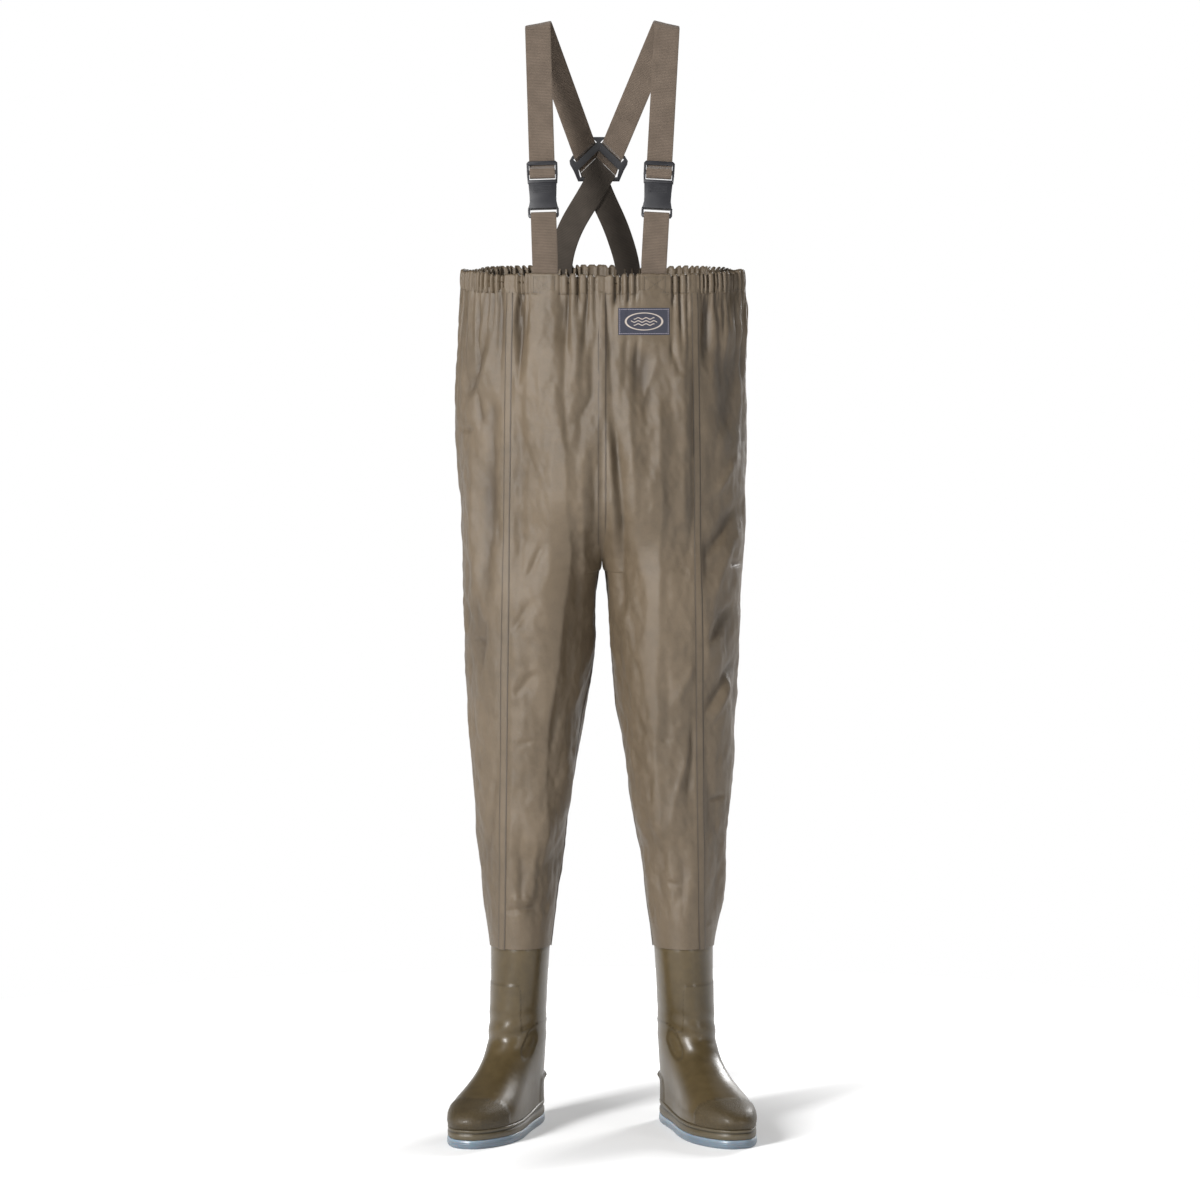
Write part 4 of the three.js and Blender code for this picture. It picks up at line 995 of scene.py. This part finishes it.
def ribbon(name, stations, material, rib=0.00016, ease=0.003, wall=strap_wall):
    """A woven strap through (centre, across) stations, with rounded bends and edges."""
    centres = np.array([list(station[0]) for station in stations])
    widths = np.array([list(station[1]) for station in stations])
    at = np.concatenate([[0], np.cumsum(np.linalg.norm(np.diff(centres, axis=0), axis=1))])
    run = graded(0, at[-1], rib_pitch / 5)
    centre = np.stack([np.interp(run, at, centres[:, i]) for i in range(3)], -1)
    width = np.stack([np.interp(run, at, widths[:, i]) for i in range(3)], -1)
    reach = int(ease / (run[1] - run[0]) / 2)
    for _ in range(2 if reach else 0):
        for line in (centre, width):
            padded = np.concatenate([2 * line[:1] - line[reach:0:-1], line,
                                     2 * line[-1:] - line[-2:-reach - 2:-1]])
            total = np.cumsum(np.concatenate([np.zeros((1, 3)), padded]), 0)
            line[:] = (total[2 * reach + 1:] - total[:-2 * reach - 1]) / (2 * reach + 1)
    along = np.gradient(centre, axis=0)
    lift = np.cross(width, along)
    lift /= np.linalg.norm(lift, axis=1, keepdims=True)
    u = np.concatenate([[-1, -0.985, -0.95], np.linspace(-0.9, 0.9, 11), [0.95, 0.985, 1.0]])
    edge = 1 - smooth(0.9, 1.0, np.abs(u))
    wave = np.sin(FULL_TURN * run / rib_pitch)
    half = (wall / 2) * (0.35 + 0.65 * np.sqrt(edge))[None, :] + rib * wave[:, None] * edge[None, :]
    half -= rib * 0.6
    skew = np.broadcast_to(u[None, :, None] / 2, (len(run), len(u), 1))
    middle = centre[:, None] + width[:, None] * skew
    uv = np.stack(np.broadcast_arrays(u[None, :] * strap_width / 2, run[:, None]), -1)
    # Painted shade: darker in the troughs between the ribs and on the rounded edges.
    line = np.broadcast_to(np.clip(-wave, 0, 1)[:, None] * 0.55 * (rib > 0), (len(run), len(u)))
    rise = lift[:, None] * half[..., None]
    return thin_shell(name, middle + rise, middle - rise,
                      material, uv, {"line": np.maximum(line, 0.3 * (1 - edge)[None, :])})


def in_strap(placed, y, z):
    """A station of the front strap, z up its run and y behind it."""
    start, up, back = placed[0], placed[1], placed[4]
    return start + back * y + up * z, placed[3] * strap_width


bar_wall, foot, bar, lower_slot, socket_length = 0.0044, 0.086, 0.006, 0.007, 0.0387
shoulder, loop_slot, entry_slot, tail_length = 0.0045, 0.0095, 0.008, 0.112
strap_layer = bar_wall / 2 + gap + strap_wall / 2
socket_top = foot + bar + lower_slot + socket_length
loop_bottom = socket_top + gap + shoulder
loop_top = loop_bottom + loop_slot
entry_bottom = loop_top + bar
entry_top = entry_bottom + entry_slot
buckle_top = entry_top + bar
elastic_route = {"left": [(0.28, -0.018), (0.6, -0.049), (0.92, -0.0645)],
                 "right": [(0.28, -0.003), (0.6, 0.0216), (0.92, 0.0375)]}
elastic_end_x = {"left": -0.066, "right": 0.042}
routes = {}
for side_name, side in SIDES:
    placed = routes[side_name] = strap_route(side_name, side)
    start, up, down, across, back, arc_start, arc = placed
    run_length = (arc_start - start).length
    front = ribbon(f"{side_name}_front_webbing",
                   [in_strap(placed, 0, z) for z in (buckle_top + 0.001, run_length - gap)], webbing_finish)
    in_strap(placed, 0, buckle_top + 0.006)[0].z
    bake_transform(front)
    tail_back = strap_wall + 0.0006
    tail = ribbon(f"{side_name}_tail_webbing", [in_strap(placed, y, z) for y, z in (
        (0, buckle_top + 0.001), (0, entry_top - 0.0015), (-2 * strap_layer, entry_bottom + 0.0015),
        (-2 * strap_layer, loop_top - 0.0015), (-strap_layer - 0.001, loop_bottom + 0.0042),
        (-strap_layer + 0.003, loop_bottom + 0.0038), (tail_back - 0.0008, loop_bottom + 0.0055),
        (tail_back, loop_top - 0.001), (tail_back, loop_top + tail_length))], webbing_finish, ease=0.0012)
    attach(tail, f"{side_name}_plug")
    bar_top = foot + bar
    x = side * abs(strap_waist_x[side_name])
    loops = [inside_waist(x, rim_height - sewn_depth, sewn_layer, False),
             inside_waist(x, rim_height - 0.002, sewn_layer, False)]
    loops += [in_strap(placed, y, z) for y, z in (
        (-layer_step, 0.016), (-2 * strap_layer, foot - 0.020), (-2 * strap_layer, bar_top + 0.0006),
        (-2 * strap_layer + 0.0011, bar_top + 0.0016), (-0.0011, bar_top + 0.0016), (0, bar_top + 0.0006),
        (0, foot - 0.020), (0, 0.018))]
    lower = ribbon(f"{side_name}_lower_webbing", loops, webbing_finish, ease=0.0012)
    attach(lower, "torso")

    step_p, step_q = down.x, down.dot(plate_up)
    step_p, step_q = step_p / math.hypot(step_p, step_q), step_q / math.hypot(step_p, step_q)
    slot_way = (Vector((1, 0, 0)) - plate_up * side).normalized()
    skew = -slot_way.x * step_q + slot_way.dot(plate_up) * step_p
    slot_across = slot_way * (strap_width / abs(skew))
    level = plate_wall / 2 + 1.5 * gap + strap_wall / 2
    deep = level + strap_wall + gap
    passes = [(-0.016, -level), (-0.0021, -level), (0.0021, level)]
    passes += ([(0.015, level), (0.0205, -level), (0.025, -level)] if side_name == "left"
               else [(0.011, level), (0.016, deep), (0.022, deep)])
    at_plate = [(on_plate(side * slot_p + a * step_p, slot_q + a * step_q, out), slot_across)
                for a, out in passes]
    before = at_plate[0][0].lerp(arc[-1][0], 0.16)
    rear = ribbon(f"{side_name}_rear_webbing", [*arc, (before, arc[-1][1]), *at_plate],
                  webbing_finish, ease=0.0015)
    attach(rear, "torso")

    out = -level if side_name == "left" else deep
    a = passes[-1][0] + gap + 0.0002
    begin = on_plate(side * slot_p + a * step_p, slot_q + a * step_q, out)
    back_rim = rim_height + rim_back_rise
    ends = []
    for z in (back_rim - 0.003, back_rim - sewn_depth):
        centre, width = inside_waist(elastic_end_x[side_name], z - rim_back_rise, sewn_layer, True)
        ends.append((Vector((centre.x, centre.y, z)), width))
    free = []
    for share, x in elastic_route[side_name]:
        centre = ends[0][0] + (begin - ends[0][0]) * (1 - share)
        free.append(Vector((x, centre.y, centre.z)))
    line = [begin, *free, ends[0][0]]
    stations = [(begin, slot_across)]
    for i, centre in enumerate(free):
        along = (line[i + 2] - line[i]).normalized()
        stations.append((centre, (Vector((1, 0, 0)) - along * along.x).normalized() * strap_width))
    elastic = ribbon(f"{side_name}_elastic", [*stations, *ends], elastic_finish, rib=0.00004, ease=0.045)
    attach(elastic, "torso")
    for thing, node, slot in ((front, "front_shoulder_strap", "webbing"), (tail, "strap_tail", "webbing"),
                              (lower, "lower_strap", "webbing"), (rear, "rear_shoulder_strap", "webbing"),
                              (elastic, "rear_elastic", "elastic")):
        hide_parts(f"{side_name}_{node}")


# ---- Buckles and crossing plate ----
# Black acetal mouldings with a fine spark texture and rounded edges. Each socket has grip ribs on
# its face, and the prongs show through the windows at its sides.
def acetal(wire):
    grain, haze = noise(wire, 1400, 2), noise(wire, 60, 3)
    normal = wire.node("Bump", None, {"Height": grain, "Distance": 0.00008, "Strength": 0.5})
    return {"Base Color": haze.mix((0.010, 0.010, 0.012), (0.020, 0.020, 0.023)),
            "Roughness": 0.30 + haze * 0.14, "Normal": normal}


plastic_finish = new_finish("black_acetal", {"Specular IOR Level": 0.5}, acetal)


def moulding(name, node, body, edge=0.0006, extras=()):
    """The node's own shape with its edges rounded, and small added boxes: middle, half sizes."""
    mesh = nodes[node].data.copy()
    mesh.transform(nodes[node].matrix_world)
    shape = bmesh.new()
    shape.from_mesh(mesh)
    bmesh.ops.remove_doubles(shape, verts=shape.verts, dist=1e-5)
    bmesh.ops.dissolve_limit(shape, angle_limit=0.02, verts=shape.verts, edges=shape.edges)
    sharp = [e for e in shape.edges if len(e.link_faces) == 2 and e.calc_face_angle(0) > 0.5]
    bmesh.ops.bevel(shape, geom=sharp, offset=edge, segments=2, profile=0.6, affect="EDGES",
                    clamp_overlap=True)
    for matrix in extras:
        made = bmesh.ops.create_cube(shape, size=2, matrix=matrix)
        edges = list({e for v in made["verts"] for e in v.link_edges})
        bmesh.ops.bevel(shape, geom=edges, offset=0.0002, segments=1, affect="EDGES", clamp_overlap=True)
    shape.to_mesh(mesh)
    shape.free()
    mesh.materials.clear()
    mesh.materials.append(plastic_finish)
    mesh.shade_smooth()
    mesh.set_sharp_from_angle(angle=0.6)
    thing = bpy.data.objects.new(name, mesh)
    bpy.context.scene.collection.objects.link(thing)
    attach(thing, body)
    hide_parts(node)
    return thing


for side_name, side in SIDES:
    placed = routes[side_name]
    turned = Matrix([placed[3], placed[4], placed[1]]).transposed().to_4x4()
    ribs = []
    for row in range(5):
        centre = in_strap(placed, -strap_layer - 0.0064, foot + bar + lower_slot + 0.0245 + 0.0024 * row)[0]
        ribs.append(Matrix.Translation(centre) @ turned @ Matrix.Diagonal((0.014, 0.0005, 0.0006, 1)))
    moulding(f"{side_name}_socket", f"{side_name}_buckle_socket", "torso", 0.0008, ribs)
    moulding(f"{side_name}_plug_moulding", f"{side_name}_buckle_plug", f"{side_name}_plug", 0.0007)
    for prong in ("inner", "outer"):
        moulding(f"{side_name}_{prong}_prong", f"{side_name}_buckle_prong_{prong}",
                 f"{side_name}_prong_{prong}", 0.0005)
moulding("plate", "crossing_plate", "torso", 0.0007)


# ---- Label patch ----
# A woven navy patch with a stitched border and a plain emblem: an oval ring over three wave lines.
def patch_places(x, z, off):
    angle = angle_at_x(x, z)
    return cloth_point(1, angle, z, off)


patch_step = np.linspace(-0.5, 0.5, 61)
x, z = np.meshgrid(patch_x + patch_width * patch_step, patch_z + patch_height * patch_step[::2])
corner = smooth(0.46, 0.5, np.maximum(np.abs(x - patch_x) / patch_width,
                                      np.abs(z - patch_z) / patch_height))
patch_uv = np.stack([x - patch_x, z - patch_z], -1)


def woven_label(wire):
    """Navy twill, its emblem and border woven in a pale thread."""
    uv = wire.node("UVMap", {"uv_map": "cloth"})
    x, z = (wire.node("SeparateXYZ", None, {0: uv}, way) for way in (0, 1))
    ring = ((x / 0.029) * (x / 0.029) + (z / 0.0135) * (z / 0.0135)).maths(
        "SQRT", (x / 0.029) * (x / 0.029) + (z / 0.0135) * (z / 0.0135))
    outline = 1 - (ring - 0.93).maths("ABSOLUTE", ring - 0.93).step(0.035, 0.06)
    pale = outline
    for level, reach in ((0.0045, 0.015), (0.0, 0.019), (-0.0045, 0.015)):
        off = z - level - x.waves(0.0115) * 0.0011
        wave = 1 - off.maths("ABSOLUTE", off).step(0.0005, 0.0008)
        pale = pale + wave * (1 - x.maths("ABSOLUTE", x).step(reach, reach + 0.0004))
    thread = (x + z).waves(0.0009) * 0.5 + (x - z).waves(0.0013) * 0.2
    fuzz = noise(wire, 700, 3)
    navy = fuzz.mix((0.007, 0.008, 0.018), (0.018, 0.020, 0.036))
    colour = pale.maths("MINIMUM", pale, 1.0).mix(navy, (0.36, 0.31, 0.27))
    normal = wire.node("Bump", None, {"Height": thread + fuzz, "Distance": 0.00018, "Strength": 0.8})
    return {"Base Color": colour, "Normal": normal}


label_finish = new_finish("woven_label", {"Roughness": 0.8, "Sheen Weight": 0.3}, woven_label)
patch = thin_shell("patch", patch_places(x, z, 0.0011 - 0.0006 * corner),
                   patch_places(x, z, 0.0001 + 0 * corner),
                   label_finish, patch_uv)
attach(patch, "torso")
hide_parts("label_patch")


# ---- Stitches ----
# Lockstitch along the casing, boxes crossed corner to corner where the straps are sewn on, and the
# patch's border. A node tree lays one short thread after another along each line.
def stitch_tree():
    tree = bpy.data.node_groups.new("stitch_row", "GeometryNodeTree")
    face = tree.interface
    face.new_socket("Geometry", in_out="INPUT", socket_type="NodeSocketGeometry")
    for name, value in (("Spacing", 0.0036), ("Length", 0.0028), ("Thickness", 0.0007)):
        face.new_socket(name, in_out="INPUT", socket_type="NodeSocketFloat").default_value = value
    face.new_socket("Thread", in_out="INPUT", socket_type="NodeSocketMaterial")
    face.new_socket("Geometry", in_out="OUTPUT", socket_type="NodeSocketGeometry")

    def node(kind, **settings):
        made = tree.nodes.new(kind)
        for key, value in settings.items():
            setattr(made, key, value)
        return made

    inputs, output = node("NodeGroupInput"), node("NodeGroupOutput")
    curve, even = node("GeometryNodeMeshToCurve"), node("GeometryNodeResampleCurve", mode="LENGTH")
    places, ball = node("GeometryNodeInstanceOnPoints"), node("GeometryNodeMeshIcoSphere")
    size, tangent = node("ShaderNodeCombineXYZ"), node("GeometryNodeInputTangent")
    aim = node("FunctionNodeAlignRotationToVector", axis="Z")
    real, paint = node("GeometryNodeRealizeInstances"), node("GeometryNodeSetMaterial")
    ball.inputs["Radius"].default_value, ball.inputs["Subdivisions"].default_value = 0.5, 2
    for start, end in (
            (inputs.outputs["Geometry"], curve.inputs["Mesh"]), (curve.outputs[0], even.inputs["Curve"]),
            (inputs.outputs["Spacing"], even.inputs["Length"]), (even.outputs[0], places.inputs["Points"]),
            (ball.outputs["Mesh"], places.inputs["Instance"]), (tangent.outputs[0], aim.inputs["Vector"]),
            (aim.outputs[0], places.inputs["Rotation"]), (inputs.outputs["Thickness"], size.inputs[0]),
            (inputs.outputs["Thickness"], size.inputs[1]), (inputs.outputs["Length"], size.inputs[2]),
            (size.outputs[0], places.inputs["Scale"]), (places.outputs[0], real.inputs[0]),
            (real.outputs[0], paint.inputs["Geometry"]),
            (inputs.outputs["Thread"], paint.inputs["Material"]),
            (paint.outputs[0], output.inputs[0])):
        tree.links.new(start, end)
    return tree


row_tree = stitch_tree()


def stitches(name, lines, thread, spacing=0.0036, length=0.0028, thickness=0.0007):
    """One piece of stitching along lines of points."""
    mesh = bpy.data.meshes.new(name + "_line")
    points, edges = [], []
    for line in lines:
        edges += [(len(points) + i, len(points) + i + 1) for i in range(len(line) - 1)]
        points += [tuple(point) for point in line]
    mesh.from_pydata(points, edges, [])
    guide = bpy.data.objects.new(name + "_line", mesh)
    bpy.context.scene.collection.objects.link(guide)
    modifier = guide.modifiers.new("rows", "NODES")
    modifier.node_group = row_tree
    wanted = {"Spacing": spacing, "Length": length, "Thickness": thickness, "Thread": thread}
    for socket in row_tree.interface.items_tree:
        if socket.in_out == "INPUT" and socket.name in wanted:
            modifier[socket.identifier] = wanted[socket.name]
    made = bpy.data.meshes.new_from_object(guide.evaluated_get(bpy.context.evaluated_depsgraph_get()))
    bpy.data.objects.remove(guide)
    bpy.data.meshes.remove(mesh)
    made.name = name
    thing = bpy.data.objects.new(name, made)
    bpy.context.scene.collection.objects.link(thing)
    return thing


def thread_paint(wire, low, high):
    return {"Base Color": noise(wire, 300, 2).mix(low, high)}


olive_thread = new_finish("olive_thread", {"Roughness": 0.6},
                          lambda wire: thread_paint(wire, (0.035, 0.027, 0.018), (0.070, 0.055, 0.038)))
pale_thread = new_finish("pale_thread", {"Roughness": 0.6},
                         lambda wire: thread_paint(wire, (0.22, 0.20, 0.25), (0.34, 0.31, 0.36)))


def casing_line(drop, first, last, count):
    """Points on the outside of the waistband, level, between two shares of its ring."""
    row = int(np.argmin([abs(d + drop) + (i > 11) for i, (_, d) in enumerate(casing_outline)]))
    ring = np.linspace(first, last, count).round().astype(int) % casing_turns
    centre = casing_points[row].mean(0)
    return [casing_points[row, i] + 0.0002 * (casing_points[row, i] - centre) / 0.2 for i in ring]


waist_rows = stitches("waistband_stitches", [casing_line(0.0265, 0, casing_turns, casing_turns + 1)],
                      olive_thread, 0.0042, 0.0032, 0.0008)
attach(waist_rows, "torso")


def waist_front(x, drop):
    """The place on the outside of the waistband at this x and this far below its rim."""
    row = int(np.argmin([abs(d + drop) + (i > 11) for i, (_, d) in enumerate(casing_outline)]))
    ring = casing_points[row]
    ahead = np.where(ring[:, 1] < body_y, np.abs(ring[:, 0] - x), 9)
    i = int(np.argmin(ahead))
    return Vector((x, ring[i, 1] - 0.0003, rim_height - drop))


for side_name, side in SIDES:
    x = strap_waist_x[side_name]
    left, right, high, low = x - 0.0155, x + 0.0155, 0.0035, 0.0255
    corners = [(left, high), (right, high), (right, low), (left, low), (left, high)]
    lines = [[waist_front(a[0] + (b[0] - a[0]) * t, a[1] + (b[1] - a[1]) * t)
              for t in np.linspace(0, 1, 12)]
             for a, b in [*zip(corners, corners[1:]), (corners[0], corners[2]), (corners[1], corners[3])]]
    box = stitches(f"{side_name}_strap_stitches", lines, olive_thread, 0.0030, 0.0024, 0.0007)
    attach(box, "torso")
border = []
for inset in (0.0022,):
    half_x, half_z = patch_width / 2 - inset, patch_height / 2 - inset
    ring = [(-half_x, -half_z), (half_x, -half_z), (half_x, half_z), (-half_x, half_z), (-half_x, -half_z)]
    for a, b in zip(ring, ring[1:]):
        t = np.linspace(0, 1, 30)
        border.append(patch_places(patch_x + a[0] + (b[0] - a[0]) * t,
                                   patch_z + a[1] + (b[1] - a[1]) * t, 0.0012))
patch_border = stitches("patch_stitches", border, pale_thread, 0.0026, 0.0021, 0.0008)
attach(patch_border, "torso")


# ---- Room ----
# A round pale table that glows with painted light towards its edge, in an evenly white studio that is
# darker overhead, a tall soft key from the front left, a weak fill from the right, and one lamp behind so
# that the back isn't in the dark.
columns, rings = 96, np.array([0.0004, 0.4, 0.8, 1.2, 1.6])
turn = np.arange(columns) / columns * FULL_TURN
table = np.stack([rings[:, None] * np.cos(turn), rings[:, None] * np.sin(turn) + 0.1,
                  0 * rings[:, None] * turn], -1)


def glowing_table_paint(wire):
    """White board that glows with painted light, faintly at its middle and fully towards its edge."""
    place = wire.node("TexCoord", output=3)
    out = wire.node("VectorMath", {"operation": "LENGTH"}, {0: place}, 1)
    return {"Base Color": noise(wire, 2, 2).mix((0.80, 0.80, 0.80), (0.82, 0.82, 0.82)),
            "Emission Color": out.step(0.15, 0.75).mix((0.12, 0.12, 0.12), (1.0, 1.0, 1.0))}


floor = new_mesh("floor", table, grid_quads(len(rings), columns, around=True)[:, ::-1], new_finish(
    "pale_table", {"Roughness": 0.95, "Specular IOR Level": 0.1, "Emission Strength": 0.6}, glowing_table_paint))
world = bpy.data.worlds.new("studio")
bpy.context.scene.world = world
world.use_nodes = True
sky = Wire(world.node_tree)
overhead = sky.node("SeparateXYZ", None, {0: sky.node("TexCoord", output=0)}, 2).step(0.12, 0.40)
world.node_tree.links.new(overhead.mix((1.0, 1.0, 1.0), (0.12, 0.12, 0.12)).socket,
                          world.node_tree.nodes["Background"].inputs[0])
bpy.context.scene.view_settings.view_transform = "Standard"


def lamp(name, place, aim, width, height, power):
    light = bpy.data.lights.new(name, "AREA")
    light.shape, light.size, light.size_y, light.energy = "RECTANGLE", width, height, power
    made = bpy.data.objects.new(name, light)
    made.location = place
    made.rotation_euler = (Vector(aim) - Vector(place)).to_track_quat("-Z", "Y").to_euler()
    bpy.context.scene.collection.objects.link(made)


lamp("key", (-2.5, -3.4, 2.3), (0, 0, 0.85), 0.8, 2.2, 330)
lamp("fill", (3.2, -3.4, 1.4), (0, 0, 0.8), 0.6, 2.0, 30)
lamp("behind", (2.4, 3.6, 2.6), (0, 0, 0.8), 1.0, 2.0, 150)
